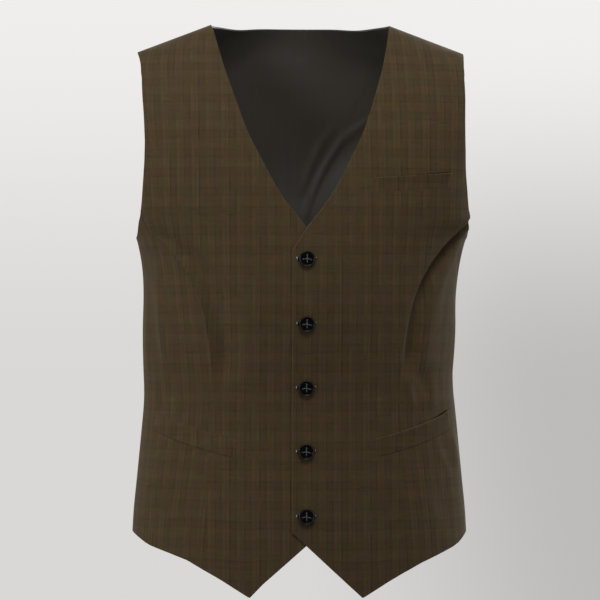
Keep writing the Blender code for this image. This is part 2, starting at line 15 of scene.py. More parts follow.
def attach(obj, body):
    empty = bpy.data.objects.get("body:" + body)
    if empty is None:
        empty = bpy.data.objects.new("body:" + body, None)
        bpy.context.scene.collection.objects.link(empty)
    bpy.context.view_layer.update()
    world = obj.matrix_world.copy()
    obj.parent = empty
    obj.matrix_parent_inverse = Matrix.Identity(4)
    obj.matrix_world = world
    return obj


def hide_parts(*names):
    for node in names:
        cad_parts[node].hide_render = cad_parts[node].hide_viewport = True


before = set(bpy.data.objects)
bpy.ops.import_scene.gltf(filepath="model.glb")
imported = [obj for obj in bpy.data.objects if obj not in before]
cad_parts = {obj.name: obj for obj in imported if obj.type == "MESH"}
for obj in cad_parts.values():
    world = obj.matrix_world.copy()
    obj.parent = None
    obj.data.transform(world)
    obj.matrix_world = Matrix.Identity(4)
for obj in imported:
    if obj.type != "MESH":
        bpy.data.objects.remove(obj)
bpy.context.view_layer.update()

FRONT = -1
BACK = 1
LEFT = 1
RIGHT = -1
SIDE_NAMES = {LEFT: "left", RIGHT: "right"}

# Cloth, as sewn.
FRONT_WALL = 0.0020
BACK_WALL = 0.0014
LINING_WALL = 0.0010
SEAM_GAP = 0.0003

# Shoulders, armholes, neck and hem.
NECK_HALF = 0.1015
SHOULDER_HALF = 0.1848
SHOULDER_DROP = 0.032
BACK_NECK_RISE = 0.002
BACK_NECK_RISE_POWER = 4
BACK_NECK_DIP = 0.0018
BACK_NECK_DIP_POWER = 8
BACK_NECK_DIP_X = 0.068
BACK_NECK_DIP_HALF_WIDTH = 0.018
UNDERARM_Z = -0.243
ARMHOLE_MIDDLE_Z = (UNDERARM_Z - SHOULDER_DROP) / 2.0
ARMHOLE_HALF_HEIGHT = (-SHOULDER_DROP - UNDERARM_Z) / 2.0
NECK_BREAK_Z = -0.2585
OVERLAP = 0.0159
SIDE_HEM_Z = -0.5758
BACK_HEM_RISE = 0.014
TIP_X = 0.0627

# The figure's sections, as in the model.
SECTION_COLUMNS = ("z", "half_width", "front_depth", "back_depth", "front_power", "back_power")
SECTIONS = (
    (0.000, 0.1015, 0.0320, 0.0700, 1.90, 1.80),
    (-0.032, 0.1848, 0.0540, 0.0820, 2.20, 1.90),
    (-0.045, 0.1975, 0.0630, 0.0860, 2.50, 2.00),
    (-0.060, 0.2062, 0.0730, 0.0900, 2.80, 2.06),
    (-0.077, 0.2085, 0.0840, 0.0945, 3.10, 2.12),
    (-0.094, 0.2085, 0.0925, 0.0985, 3.30, 2.17),
    (-0.127, 0.2047, 0.1050, 0.1060, 3.40, 2.20),
    (-0.161, 0.2008, 0.1128, 0.1120, 3.20, 2.20),
    (-0.195, 0.1983, 0.1180, 0.1143, 3.00, 2.20),
    (-0.229, 0.1928, 0.1218, 0.1138, 2.60, 2.20),
    (-0.246, 0.1870, 0.1233, 0.1128, 2.45, 2.20),
    (-0.262, 0.1833, 0.1243, 0.1110, 2.35, 2.20),
    (-0.279, 0.1803, 0.1250, 0.1085, 2.30, 2.20),
    (-0.313, 0.1775, 0.1245, 0.1025, 2.25, 2.20),
    (-0.348, 0.1768, 0.1210, 0.0965, 2.20, 2.20),
    (-0.382, 0.1761, 0.1160, 0.0920, 2.20, 2.20),
    (-0.416, 0.1757, 0.1115, 0.0905, 2.20, 2.20),
    (-0.450, 0.1785, 0.1100, 0.0930, 2.20, 2.20),
    (-0.485, 0.1818, 0.1110, 0.0980, 2.20, 2.20),
    (-0.519, 0.1851, 0.1130, 0.1030, 2.20, 2.20),
    (-0.553, 0.1885, 0.1150, 0.1065, 2.20, 2.20),
    (-0.640, 0.1925, 0.1180, 0.1090, 2.20, 2.20),
)

# The levels at which the sections are read, and the heights over which their curves are rounded off.
LEVEL_STEP = 0.001
LEVELS = np.arange(-0.700, 0.0405, LEVEL_STEP)
SOFTEN_LEAST = 0.0006
SOFTEN_MOST = 0.009
SOFTEN_START_Z = -0.050
SOFTEN_FULL_Z = -0.110

# How far the worn waistcoat's sides stand outside the model, in rows of z, left and right.
DRIFT = (
    (0.000, 0.0000, 0.0000),
    (-0.032, 0.0012, 0.0002),
    (-0.046, 0.0046, 0.0026),
    (-0.060, 0.0058, 0.0036),
    (-0.075, 0.0046, 0.0024),
    (-0.110, 0.0034, 0.0004),
    (-0.140, 0.0022, -0.0016),
    (-0.170, 0.0030, 0.0002),
    (-0.200, 0.0038, 0.0000),
    (-0.213, 0.0048, 0.0004),
    (-0.222, 0.0074, 0.0006),
    (-0.229, 0.0060, -0.0002),
    (-0.236, 0.0024, -0.0012),
    (-0.246, 0.0006, -0.0018),
    (-0.300, 0.0002, -0.0006),
    (-0.340, 0.0000, 0.0003),
    (-0.362, -0.0006, 0.0006),
    (-0.395, -0.0014, 0.0010),
    (-0.430, 0.0000, 0.0010),
    (-0.640, 0.0000, 0.0012),
)
DRIFT_FROM = 0.55
ARMHOLES = {
    FRONT: {"reach": 0.079, "top_power": 1.8, "foot_power": 2.8},
    BACK: {"reach": 0.065, "top_power": 2.3, "foot_power": 2.3},
}

# The neck's edge and the princess seam, in rows of z and x.
NECK_EDGE = (
    (0.0000, NECK_HALF),
    (-0.0506, 0.0893),
    (-0.0884, 0.0774),
    (-0.1252, 0.0648),
    (-0.1611, 0.0474),
    (-0.1968, 0.0280),
    (-0.2343, 0.0000),
    (NECK_BREAK_Z, -OVERLAP),
)
PRINCESS_SEAM = (
    (-0.2320, 0.1745),
    (-0.2555, 0.1530),
    (-0.2787, 0.1350),
    (-0.3068, 0.1205),
    (-0.3354, 0.1120),
    (-0.3684, 0.1070),
    (-0.4003, 0.1043),
    (-0.4278, 0.1055),
    (-0.5000, 0.1080),
    (-0.6127, 0.1120),
)

# The front's hem in rows of x and z, and how far below it the worn one hangs in rows of x and drop.
HEM_EDGE = (
    (-OVERLAP, -0.5692),
    (TIP_X, -0.6400),
    (0.0933, -0.6225),
    (0.1303, -0.6032),
    (0.1699, -0.5868),
    (0.1894, SIDE_HEM_Z),
)
HEM_DROP = (
    (-0.1894, 0.0000),
    (-0.1760, 0.0012),
    (-0.1500, -0.0010),
    (-0.1300, -0.0021),
    (-0.1030, -0.0010),
    (-0.0780, 0.0006),
    (-0.0627, 0.0014),
    (-0.0480, -0.0006),
    (0.0000, 0.0006),
    (0.0300, 0.0016),
    (0.0627, 0.0022),
    (0.0850, 0.0016),
    (0.1100, 0.0009),
    (0.1350, 0.0021),
    (0.1770, 0.0032),
    (0.1894, 0.0000),
)
HEM_DROP_TOP_Z = -0.500

# Fine grid of each panel: rows and columns, and the extra ones where an edge rolls over.
ROWS_BELOW_BREAK = 120
ROWS_AT_BREAK = 6
ARMHOLE_ROWS = 96
PRINCESS_TOP_ROW = 24
STRIP_COLUMNS = 13
MIDDLE_COLUMNS = 18
OUTER_COLUMNS = 24
SIDE_COLUMNS = 72
SIDE_LEAD_SHARE = 0.2
BACK_COLUMNS = 30
LINING_COLUMNS = 58
BACK_MIDDLE_X = 0.130
HEM_FADE_Z = -0.40
EDGE_STOPS = np.array((0.0, 0.00005, 0.00018, 0.0004, 0.0007, 0.0011, 0.0017))
EDGE_STOPS_SHARE = 0.2
LEAST_LENGTH = 0.000001
SECTION_STOPS = 33
FRONT_CROWDING = math.radians(65.0)
BACK_CROWDING_LOW = math.radians(50.0)
BACK_CROWDING_TOP = math.radians(90.0)
UPPER_BACK_SHARE = 0.5
UPPER_BACK_BLEND = 0.1
UPPER_BACK_MIDDLE_TURN = math.radians(40.0)
UPPER_BACK_OUTER_TURN = math.radians(60.0)

# Meshes: points closer than this are welded, and edges sharper than this stay sharp.
WELD_DISTANCE = 0.000002
SHARP_ANGLE = math.radians(60.0)

# Edges: how far the cloth rolls over at a free edge and at a seam, as a share of its wall.
FREE_EDGE = 0.48
SEAM_EDGE = 0.42
SHOULDER_EDGE = 0.18
WELT_ROLL = 0.0014
WELT_ROLL_MOST = 0.75
WELT_WEAVE_SHIFT = (0.0042, 0.0065)

# The large folds of the model, then the creases that only show here, in rows of side, way round
# and z at the start, way round and z at the end, half width and height.
GIRTH_PER_RADIAN = 0.16
FOLD_END_POWER = 2
FOLDS = (
    (LEFT, 0.140, -0.395, 0.150, -0.440, 0.012, 0.0030),
    (LEFT, 0.176, -0.440, 0.212, -0.520, 0.016, 0.0028),
    (LEFT, 0.150, -0.500, 0.165, -0.580, 0.018, -0.0018),
    (LEFT, 0.225, -0.300, 0.215, -0.420, 0.018, 0.0020),
    (RIGHT, 0.215, -0.290, 0.210, -0.430, 0.016, 0.0024),
    (RIGHT, 0.160, -0.470, 0.195, -0.560, 0.020, 0.0022),
    (RIGHT, 0.185, -0.400, 0.160, -0.450, 0.014, -0.0016),
    (LEFT, 0.300, -0.380, 0.430, -0.425, 0.014, 0.0028),
    (RIGHT, 0.310, -0.370, 0.420, -0.410, 0.013, 0.0024),
    (LEFT, 0.330, -0.440, 0.450, -0.455, 0.015, -0.0022),
    (RIGHT, 0.300, -0.430, 0.440, -0.450, 0.014, -0.0020),
    (RIGHT, 0.251, -0.265, 0.251, -0.455, 0.030, 0.0020),
    (LEFT, 0.251, -0.265, 0.251, -0.455, 0.030, -0.0014),
    (LEFT, 0.330, -0.090, 0.380, -0.200, 0.018, 0.0024),
    (RIGHT, 0.335, -0.100, 0.370, -0.190, 0.016, 0.0022),
    (LEFT, 0.400, -0.480, 0.385, -0.560, 0.018, 0.0020),
    (RIGHT, 0.360, -0.470, 0.375, -0.560, 0.020, 0.0020),
)
CREASES = (
    (LEFT, 0.060, -0.300, 0.130, -0.330, 0.008, 0.0006),
    (LEFT, 0.030, -0.410, 0.120, -0.375, 0.009, 0.0006),
    (RIGHT, 0.040, -0.330, 0.120, -0.360, 0.008, 0.0006),
    (RIGHT, 0.030, -0.470, 0.110, -0.500, 0.010, 0.0006),
    (LEFT, 0.040, -0.500, 0.120, -0.545, 0.010, 0.0007),
    (RIGHT, 0.150, -0.225, 0.205, -0.275, 0.007, 0.0008),
    (LEFT, 0.185, -0.250, 0.225, -0.290, 0.006, -0.0009),
    (LEFT, 0.120, -0.100, 0.165, -0.180, 0.010, 0.0007),
    (RIGHT, 0.120, -0.090, 0.160, -0.170, 0.010, 0.0007),
    (LEFT, 0.290, -0.330, 0.370, -0.370, 0.006, 0.0009),
    (RIGHT, 0.300, -0.325, 0.380, -0.355, 0.006, 0.0009),
    (LEFT, 0.310, -0.470, 0.400, -0.490, 0.007, 0.0008),
    (RIGHT, 0.330, -0.480, 0.410, -0.505, 0.007, 0.0008),
    (RIGHT, 0.192, -0.255, 0.148, -0.430, 0.015, 0.0046),
    (RIGHT, 0.165, -0.375, 0.140, -0.425, 0.008, -0.0014),
    (RIGHT, 0.203, -0.251, 0.157, -0.262, 0.0045, -0.0014),
    (LEFT, 0.106, -0.393, 0.118, -0.448, 0.006, 0.0020),
    (LEFT, 0.127, -0.388, 0.148, -0.432, 0.009, -0.0030),
    (LEFT, 0.140, -0.460, 0.180, -0.520, 0.007, 0.0012),
)

# The hollow beside each princess seam: outboard of the left one with a ridge beyond it, inboard
# of the right one. Each runs between its heights; the lip is the pressed seam itself.
SEAM_HOLLOWS = {
    LEFT: {"outboard": 1.0, "depth": 0.0100, "fall": 0.014, "rise": 0.017, "ridge": 0.0020,
           "lip": 0.0006, "heights": (-0.205, -0.248, -0.372, -0.405)},
    RIGHT: {"outboard": -1.0, "depth": 0.0054, "fall": 0.018, "rise": 0.030, "ridge": 0.0,
            "lip": 0.0010, "heights": (-0.222, -0.285, -0.375, -0.410)},
}
SEAM_RIDGE_AWAY = 0.042
SEAM_RIDGE_HALF_WIDTH = 0.014
SEAM_LIP_AWAY = -0.0016
SEAM_LIP_HALF_WIDTH = 0.0015
SEAM_HOLLOW_LAST_TURN = math.radians(60.0)
SEAM_HOLLOW_NO_TURN = math.radians(80.0)
PRINCESS_EDGE = 0.16
FLAT_SEAM_EDGE = 0.04
FLAT_SEAM_START_Z = -0.370
FLAT_SEAM_FULL_Z = -0.420

# Creases of the lining inside the back, in rows of half width, height towards the front and the
# bent line along each, in x and z.
LINING_CREASES = (
    (0.0034, 0.0024, ((0.100, -0.094), (0.070, -0.114), (0.057, -0.124), (0.049, -0.135),
                      (0.039, -0.151), (0.028, -0.173), (0.021, -0.190), (0.010, -0.225))),
    (0.0180, 0.0060, ((0.115, -0.128), (0.086, -0.144), (0.068, -0.164), (0.053, -0.188),
                      (0.033, -0.228))),
    (0.0045, 0.0018, ((0.048, -0.108), (0.036, -0.122), (0.026, -0.140), (0.016, -0.165),
                      (0.008, -0.190))),
    (0.0080, 0.0012, ((-0.060, -0.150), (-0.040, -0.190), (-0.010, -0.225))),
    (0.0360, 0.0060, ((-0.050, -0.018), (-0.002, -0.054), (0.028, -0.084), (0.058, -0.108),
                      (0.095, -0.122))),
)
LINING_CREASE_END_POWER = 0.7
LINING_NECK_FADE = 0.040

# The buttoned front: the wearer's left front lies on the right one.
FRONT_LIFT = FRONT_WALL + SEAM_GAP
LIFT_BLEND_WIDTH = 0.040
LIFT_TOP_Z = -0.150
LIFT_FULL_Z = -0.235
FACING_WIDTH = 0.045
EDGE_RIDGE_AWAY = 0.0013
EDGE_RIDGE_HALF_WIDTH = 0.0010
EDGE_RIDGE = 0.0005

# Buttons, their thread and their holes. The edge of a button's dish and its rim, over the crest and
# down to the back, are in rows of radius and height, and the four holes in rows of x and y.
BUTTON_COUNT = 5
TOP_BUTTON_Z = -0.2684
BUTTON_SPACING = 0.0708
BUTTON_SHANK_GAP = 0.0006
DISH_EDGE = (0.0064, 0.0027)
DISH_RINGS = 24
BUTTON_RIM = (
    (0.0069, 0.0028),
    (0.0073, 0.0031),
    (0.0077, 0.0035),
    (0.0081, 0.0037),
    (0.0084, 0.0036),
    (0.0087, 0.0032),
    (0.0089, 0.0026),
    (0.0089, 0.0019),
    (0.0088, 0.0011),
    (0.0084, 0.0004),
    (0.0078, 0.0001),
    (0.0070, 0.0000),
)
BUTTON_SIDES = 96
# The rim's crest, where it faces out, is painted paler: a painted highlight ring.
RIM_CREST = (0.0078, 0.0086)
RIM_CREST_LEAST_UP = 0.2
HOLE_PLACES = ((0.0, 0.0056), (0.0, -0.0048), (-0.0056, -0.0006), (0.0056, -0.0012))
HOLE_RADIUS = 0.00085
HOLE_BEVEL = 0.00025
HOLE_DEPTH = 0.0016

# Sewing: threads across a button, the stitched eye of a buttonhole, its bar tacks, whose pale thread
# is a painted glint, and its mouth, a leaf of painted shade. A tube's path counts as steep when it
# runs almost straight out from the cloth.
STEEP_PATH = 0.95
THREAD_RADIUS = 0.00020
THREAD_SIDES = 8
THREAD_POINTS = 16
THREAD_SPLAY = 2.2
THREAD_SINK = 0.0008
THREAD_RISE = 0.00045
THREAD_ARCH_POWER = 0.35
BUTTONHOLE_HALF_LENGTH = 0.0106
BUTTONHOLE_HALF_HEIGHT = 0.0040
BUTTONHOLE_POINTEDNESS = 0.25
BUTTONHOLE_SHIFT = -0.0004
BUTTONHOLE_BAND = 0.0011
BUTTONHOLE_STITCHES = 92
STITCH_SIDES = 6
STITCH_POINTS = 5
STITCH_RADIUS = 0.00024
STITCH_HEIGHT = 0.00035
STITCH_SINK = 0.0001
TACK_RADIUS = 0.0003
TACK_COLUMNS = ("x", "middle", "half_length")
TACKS = (
    (-0.0107, 0.0008, 0.0013),
    (-0.0101, 0.0008, 0.0013),
    (0.0103, 0.0014, 0.0009),
)
SLIT_POINTS = 64
SLIT_INSET = 0.0002
SLIT_RISE = 0.00008

# Welts, by the ends of their centre lines in the front view, with the thickness of each at its top
# edge, its foot and its ends, and how far it gapes at its outer end. A mouth that shows, a leaf of
# painted shade, has its start and end along the welt and its half height.
CHEST_WELT = {"inner": (0.0724, -0.1868), "outer": (0.1622, -0.1798), "height": 0.0162,
              "lean": 0.0, "top": 0.0030, "foot": 0.0002, "ends": 0.4, "gape": 0.0004,
              "mouth": (0.46, 0.99, 0.0004)}
LOWER_WELT = {"inner": (0.0782, -0.4772), "outer": (0.1655, -0.4476), "height": 0.0205,
              "lean": 0.0042, "ends": 0.3}
LEFT_WELT = {**LOWER_WELT, "top": 0.0026, "foot": 0.0006, "gape": 0.0022,
             "mouth": (0.66, 1.0, 0.0006)}
RIGHT_WELT = {**LOWER_WELT, "top": 0.0003, "foot": 0.0007, "gape": 0.0}
WELT_SWELL_POWER = 1.5
GAPE_UP_POWER = 2
GAPE_ACROSS_POWER = 3
WELT_END_FADE = 0.06
WELT_SINK = 0.0003
WELT_COLUMNS = 60
WELT_ROWS = 14
MOUTH_COLUMNS = 40
MOUTH_THICKNESS = 0.0002
MOUTH_SKEW = 1.6
MOUTH_BLUNTNESS = 0.8

# The woven check: pairs of dark lines with pale bands beside them, both ways. Each profile gives
# the tone across one pitch, from -1 at the darkest to 1 at the palest.
WARP_PITCH = 0.0167
WARP_PHASE = {LEFT: 0.0057, RIGHT: 0.0157}
WARP_PROFILE = ((0.000, 0.60), (0.045, 0.50), (0.075, -1.00), (0.135, -1.00), (0.175, -0.15),
                (0.420, -0.15), (0.460, -0.70), (0.545, -0.70), (0.590, 0.75), (0.790, 0.70),
                (0.840, -0.15), (0.880, 0.00), (0.920, 0.70), (1.000, 0.60))
WARP_FIRST_LINE = 0.105
WARP_TONE = 0.145
WEFT_PITCH = 0.0217
WEFT_PHASE = -0.2980
WEFT_PROFILE = ((0.000, 0.60), (0.035, 0.50), (0.070, -0.90), (0.150, -0.90), (0.190, -0.30),
                (0.400, -0.30), (0.430, -0.85), (0.520, -0.85), (0.560, 0.75), (0.940, 0.85),
                (1.000, 0.60))
WEFT_FIRST_LINE = 0.110
WEFT_TONE = 0.070
WEAK_PAIR = 0.35
STRAY = 0.0016
WARP_SLUB = (0.36, 0.64, 0.2, 1.8)
WEFT_SLUB = (0.36, 0.64, 0.4, 1.6)
DASHES = {"warp_dash": -0.16, "weft_dash": -0.16, "pale_dash": 0.12}
DASH_RANGE = (0.62, 0.74)
FINE_SHADE = 0.08

# Noises over the cloth, by how often each turns per metre across and up, and a seed of its own.
WOOL_GRAINS = {
    "stray_across": (25.0, 12.0, 3.0),
    "stray_up": (10.0, 30.0, 5.0),
    "warp_slub": (190.0, 34.0, 11.0),
    "weft_slub": (34.0, 150.0, 17.0),
    "warp_dash": (480.0, 60.0, 23.0),
    "weft_dash": (60.0, 480.0, 29.0),
    "pale_dash": (70.0, 420.0, 31.0),
    "fine": (900.0, 900.0, 41.0),
}
WOOL_CLOUDS = (70.0, 60.0, 37.0)
SATIN_STREAKS = (260.0, 9.0, 7.0)
SATIN_CLOUDS = (14.0, 14.0, 13.0)

# Finishes: ribs by their pitch across and up, bumps by their strength and height, colours in
# linear light.
WOOL_COLOR = (0.0572, 0.0385, 0.0180)
WOOL_TINT = (0.30, 0.24, 0.42)
WOOL_ROUGHNESS = (0.84, 0.95)
WOOL_RIBS = (0.0011, 0.0014)
WOOL_BUMP = (0.35, 0.0002)
WOOL_FINISH = {"Specular IOR Level": 0.12, "Sheen Weight": 0.11, "Sheen Roughness": 0.4,
               "Sheen Tint": (0.9, 0.8, 0.65, 1.0)}
SATIN_RIBS = (0.0006, 0.0009)
SATIN_BUMP = (0.25, 0.0002)
SATIN_STREAK_SHADE = 0.25
SATIN_SMOOTHER = 0.05
SATIN_ROUGHER = 0.07
SATIN_FINISH = {"Sheen Weight": 0.05}
SATINS = (
    ("back_satin", (0.022, 0.020, 0.018), 0.42),
    ("lining_satin", (0.041, 0.0345, 0.0255), 0.40),
)
GLOSS_GRAIN = 900.0
GLOSS_ROUGHNESS = (0.16, 0.28)
GLOSS_WAVES = 350.0
GLOSS_BUMP = (0.08, 0.0002)
# Polished blacks: the buttons' own, and a paler copy on the crest of each rim, a painted highlight
# ring.
GLOSSES = (
    ("button_black", (0.0016, 0.0014, 0.0014), 0.07),
    ("button_rim_painted_highlight", (0.017, 0.015, 0.015), 0.16),
)
THREAD_GRAIN = 2600.0
THREAD_SHADE = 0.5
THREAD_BUMP = (0.4, 0.0001)
THREADS = (
    ("button_thread", (0.15, 0.14, 0.14), 0.6),
    ("hole_thread", (0.070, 0.052, 0.036), 0.7),
    # The bar tacks are real thread, made pale as a painted glint at the buttonhole's ends.
    ("tack_thread_painted_glint", (0.40, 0.37, 0.33), 0.7),
)
# Painted shade: dark finishes for the leaves in the mouths of buttonholes and pockets.
SHADOW_GRAIN = 1500.0
SHADOW_CLOTHS = (
    ("slit_painted_shade", (0.008, 0.006, 0.004)),
    ("mouth_painted_shade", (0.022, 0.015, 0.007)),
)

# Camera, lights in rows of name, place, size and watts, and the paper round them, which glows with
# painted light and painted shade. The paper's ramps run from a first place to a last one, and from
# the strength at the first to that at the last.
SENSOR_WIDTH = 36.0
PHOTO_PIXELS = 600.0
CAMERA_DISTANCE = 3.2
CAMERA_AZIMUTH = -3.5
CAMERA_HEIGHT = -0.3134
CAMERA_FOCUS_PIXELS = 2805.0
WORLD_STRENGTH = 0.30
LIGHT_TARGET = (0.0, 0.0, -0.30)
LIGHTS = (
    ("chest", (0.0, -1.1, 0.9), (1.0, 0.6), 15.5),
    ("left", (-2.6, -0.4, 0.1), (0.8, 1.6), 38.0),
    ("right", (2.4, -0.6, 0.2), (0.8, 1.6), 7.0),
    ("right_rim", (2.2, 1.0, 0.6), (0.8, 1.6), 27.0),
    ("back", (0.6, 2.6, 0.9), (1.6, 1.6), 45.0),
)
FLOOR_Z = -1.25
WALL_RADIUS = 6.0
WALL_TOP = 3.5
FILLET = 2.0
FILLET_STEPS = 16
DISH_SIDES = 96
PAPER_COLOR = (1.0, 0.982, 0.966)
PAPER_GLOW_UP = (-0.60, 0.72, 0.700, 0.872)
PAPER_SHADE_UP = (-0.62, 0.56, 0.190, -0.012)
PAPER_SHADE_ACROSS = (0.22, 1.14, 0.0, 1.0)


def mix(a, b, share):
    return a + (b - a) * share


def ease(value):
    """A smooth step from 0 to 1 as value goes from 0 to 1."""
    value = np.clip(value, 0.0, 1.0)
    return value * value * (3.0 - 2.0 * value)


def swell(distance, half_width_of_fold):
    return np.exp(-(distance / half_width_of_fold) ** 2)


def columns_of(rows):
    return np.array(rows).T


def running_total(steps, axis=0):
    """The sums of the steps so far along an axis, from 0."""
    before = np.zeros_like(np.take(steps, [0], axis=axis))
    return np.cumsum(np.concatenate([before, steps], axis=axis), axis=axis)


# Curves of height.

def monotone(places, values, at):
    """A cubic through (place, value) points that never overshoots, and runs on straight past them."""
    order = np.argsort(places)
    places = np.array(places)[order]
    values = np.array(values)[order]
    runs = np.diff(places)
    steps = np.diff(values) / runs
    before, after = steps[:-1], steps[1:]
    same_way = before * after > 0.0
    total = np.where(same_way, before + after, 1.0)
    inner = np.where(same_way, 2.0 * before * after / total, 0.0)
    slopes = np.concatenate([steps[:1], inner, steps[-1:]])
    k = np.clip(np.searchsorted(places, at), 1, len(places) - 1)
    t = np.clip((at - places[k - 1]) / runs[k - 1], 0.0, 1.0)
    start_share = (1.0 + 2.0 * t) * (1.0 - t) ** 2
    start_lean = t * (1.0 - t) ** 2 * runs[k - 1]
    end_lean = -t * t * (1.0 - t) * runs[k - 1]
    value = start_share * values[k - 1] + (1.0 - start_share) * values[k]
    value += start_lean * slopes[k - 1] + end_lean * slopes[k]
    value += np.minimum(at - places[0], 0.0) * slopes[0]
    return value + np.maximum(at - places[-1], 0.0) * slopes[-1]


def softened(values):
    """Rounds off a curve of height, except near the shoulders, where it turns quickly."""
    fade = ease((SOFTEN_START_Z - LEVELS) / (SOFTEN_START_Z - SOFTEN_FULL_Z))
    reach = mix(SOFTEN_LEAST, SOFTEN_MOST, fade)
    apart = (LEVELS[:, None] - LEVELS[None, :]) / reach[:, None]
    weights = np.exp(-0.5 * apart ** 2)
    return weights @ values / weights.sum(axis=1)


def level_curve(column):
    """One column of SECTIONS, read at every level."""
    sections = dict(zip(SECTION_COLUMNS, columns_of(SECTIONS)))
    return softened(monotone(sections["z"], sections[column], LEVELS))


HALF_WIDTHS = level_curve("half_width")
DEPTHS = {FRONT: level_curve("front_depth"), BACK: level_curve("back_depth")}
POWERS = {FRONT: level_curve("front_power"), BACK: level_curve("back_power")}


def half_width(z):
    along_shoulder = mix(NECK_HALF, SHOULDER_HALF, -np.asarray(z) / SHOULDER_DROP)
    return np.where(np.asarray(z) > -SHOULDER_DROP, along_shoulder, np.interp(z, LEVELS, HALF_WIDTHS))


def depth(z, face):
    return np.interp(z, LEVELS, DEPTHS[face])


def power(z, face):
    return np.interp(z, LEVELS, POWERS[face])


# The figure, for arrays of places.

def side_share(x, z):
    """0 on the centre line and 1 at the figure's side."""
    return np.clip(np.abs(x) / half_width(z), 0.0, 1.0)


def section_turn(x, z, face):
    """The angle round the section at a half width x: 0 at the centre, a quarter turn at the side."""
    return np.arcsin(side_share(x, z) ** (power(z, face) / 2.0))


def section_x(turn, z, face):
    return half_width(z) * np.sin(turn) ** (2.0 / power(z, face))


def drift(x, z):
    """How far the cloth stands to one side of the model at each place, most at the outer edges."""
    levels, left, right = columns_of(DRIFT[::-1])
    sideways = np.where(x > 0.0, np.interp(z, levels, left), -np.interp(z, levels, right))
    return sideways * ease((side_share(x, z) - DRIFT_FROM) / (1.0 - DRIFT_FROM))


def hem_drop(x, z):
    """How far the front's cloth hangs below the model at each place, most at the hem."""
    at_hem = np.interp(x, *columns_of(HEM_DROP))
    return at_hem * ease((HEM_DROP_TOP_Z - z) / (HEM_DROP_TOP_Z - SIDE_HEM_Z))


def figure_points(x, z, face):
    """Points of the worn figure's surface, by half widths and heights on the model's."""
    exponent = power(z, face)
    y = face * depth(z, face) * (1.0 - side_share(x, z) ** exponent) ** (1.0 / exponent)
    hang = hem_drop(x, z) if face == FRONT else 0.0
    return np.stack([x + drift(x, z), y, z - hang], axis=-1)


def figure_level(x, y, z, face):
    exponent = power(z, face)
    return (np.abs(x) / half_width(z)) ** exponent + (np.abs(y) / depth(z, face)) ** exponent


def figure_normals(points, face):
    """The outward directions at points of the surface, square to the surface."""
    x, y, z = points[..., 0], points[..., 1], points[..., 2]
    exponent = power(z, face)
    across = exponent * np.abs(x) ** (exponent - 1.0) / half_width(z) ** exponent
    along = exponent * np.abs(y) ** (exponent - 1.0) / depth(z, face) ** exponent
    above = figure_level(x, y, z + LEVEL_STEP, face)
    below = figure_level(x, y, z - LEVEL_STEP, face)
    upward = (above - below) / (2.0 * LEVEL_STEP)
    normals = np.stack([np.copysign(across, x), face * along, upward], axis=-1)
    return normals / np.linalg.norm(normals, axis=-1, keepdims=True)


# Folds and creases.

def round_the_figure(x, z, face):
    """The way round the figure from the centre front, in metres."""
    turn = section_turn(x, z, face)
    return GIRTH_PER_RADIAN * (turn if face == FRONT else math.pi - turn)


def line_swell(x, z, line, half_width_of_line, end_power):
    """1 on a bent line, falling away beside it and fading out at its two ends."""
    line = np.array(line)
    ways = running_total(np.hypot(*np.diff(line, axis=0).T))
    nearest = np.full(np.shape(x), np.inf)
    along = np.zeros(np.shape(x))
    for (x0, z0), (x1, z1), way0, way1 in zip(line, line[1:], ways, ways[1:]):
        run = way1 - way0
        share = np.clip(((x - x0) * (x1 - x0) + (z - z0) * (z1 - z0)) / run ** 2, 0.0, 1.0)
        distance = np.hypot(x - mix(x0, x1, share), z - mix(z0, z1, share))
        closer = distance < nearest
        nearest = np.where(closer, distance, nearest)
        along = np.where(closer, way0 + share * run, along)
    return swell(nearest, half_width_of_line) * np.sin(math.pi * along / ways[-1]) ** end_power


def seam_hollow(side, x, z):
    """The hollow along a princess seam, with its lip and the ridge beyond it."""
    hollow = SEAM_HOLLOWS[side]
    top, full, wane, end = hollow["heights"]
    strength = ease((top - z) / (top - full)) * (1.0 - ease((wane - z) / (wane - end)))
    turn = section_turn(x, z, FRONT)
    turned = (turn - SEAM_HOLLOW_LAST_TURN) / (SEAM_HOLLOW_NO_TURN - SEAM_HOLLOW_LAST_TURN)
    strength = strength * (1.0 - ease(turned))
    outboard = round_the_figure(x, z, FRONT) - round_the_figure(princess_x(z), z, FRONT)
    away = outboard * hollow["outboard"]
    fall = ease(away / hollow["fall"])
    rise = 1.0 - ease((away - hollow["fall"]) / hollow["rise"])
    ridge = hollow["ridge"] * swell(away - SEAM_RIDGE_AWAY, SEAM_RIDGE_HALF_WIDTH)
    lip = hollow["lip"] * swell(outboard - SEAM_LIP_AWAY, SEAM_LIP_HALF_WIDTH)
    return strength * (ridge + lip - hollow["depth"] * fall * rise)


def folds_at(x, z, face):
    """How far all folds and creases together move the cloth outward at each place."""
    way_round = round_the_figure(x, z, face)
    heights = {side: seam_hollow(side, x, z) if face == FRONT else 0.0 for side in (LEFT, RIGHT)}
    for side, start_round, start_z, end_round, end_z, half_width_of_fold, height in FOLDS + CREASES:
        line = ((start_round, start_z), (end_round, end_z))
        shape = line_swell(way_round, z, line, half_width_of_fold, FOLD_END_POWER)
        heights[side] = heights[side] + height * shape
    return np.where(x > 0.0, heights[LEFT], heights[RIGHT])


# Edges of the panels.

def neck_x(z):
    return monotone(*columns_of(NECK_EDGE), np.clip(z, NECK_BREAK_Z, 0.0))


def armhole_heights(rows):
    """Heights up the armhole edge from the underarm to the shoulder point, close at both ends."""
    cosine = -np.cos(math.pi * np.arange(rows + 1) / rows)
    rise = np.copysign(np.abs(cosine) ** (2.0 / ARMHOLES[BACK]["top_power"]), cosine)
    return ARMHOLE_MIDDLE_Z + ARMHOLE_HALF_HEIGHT * rise


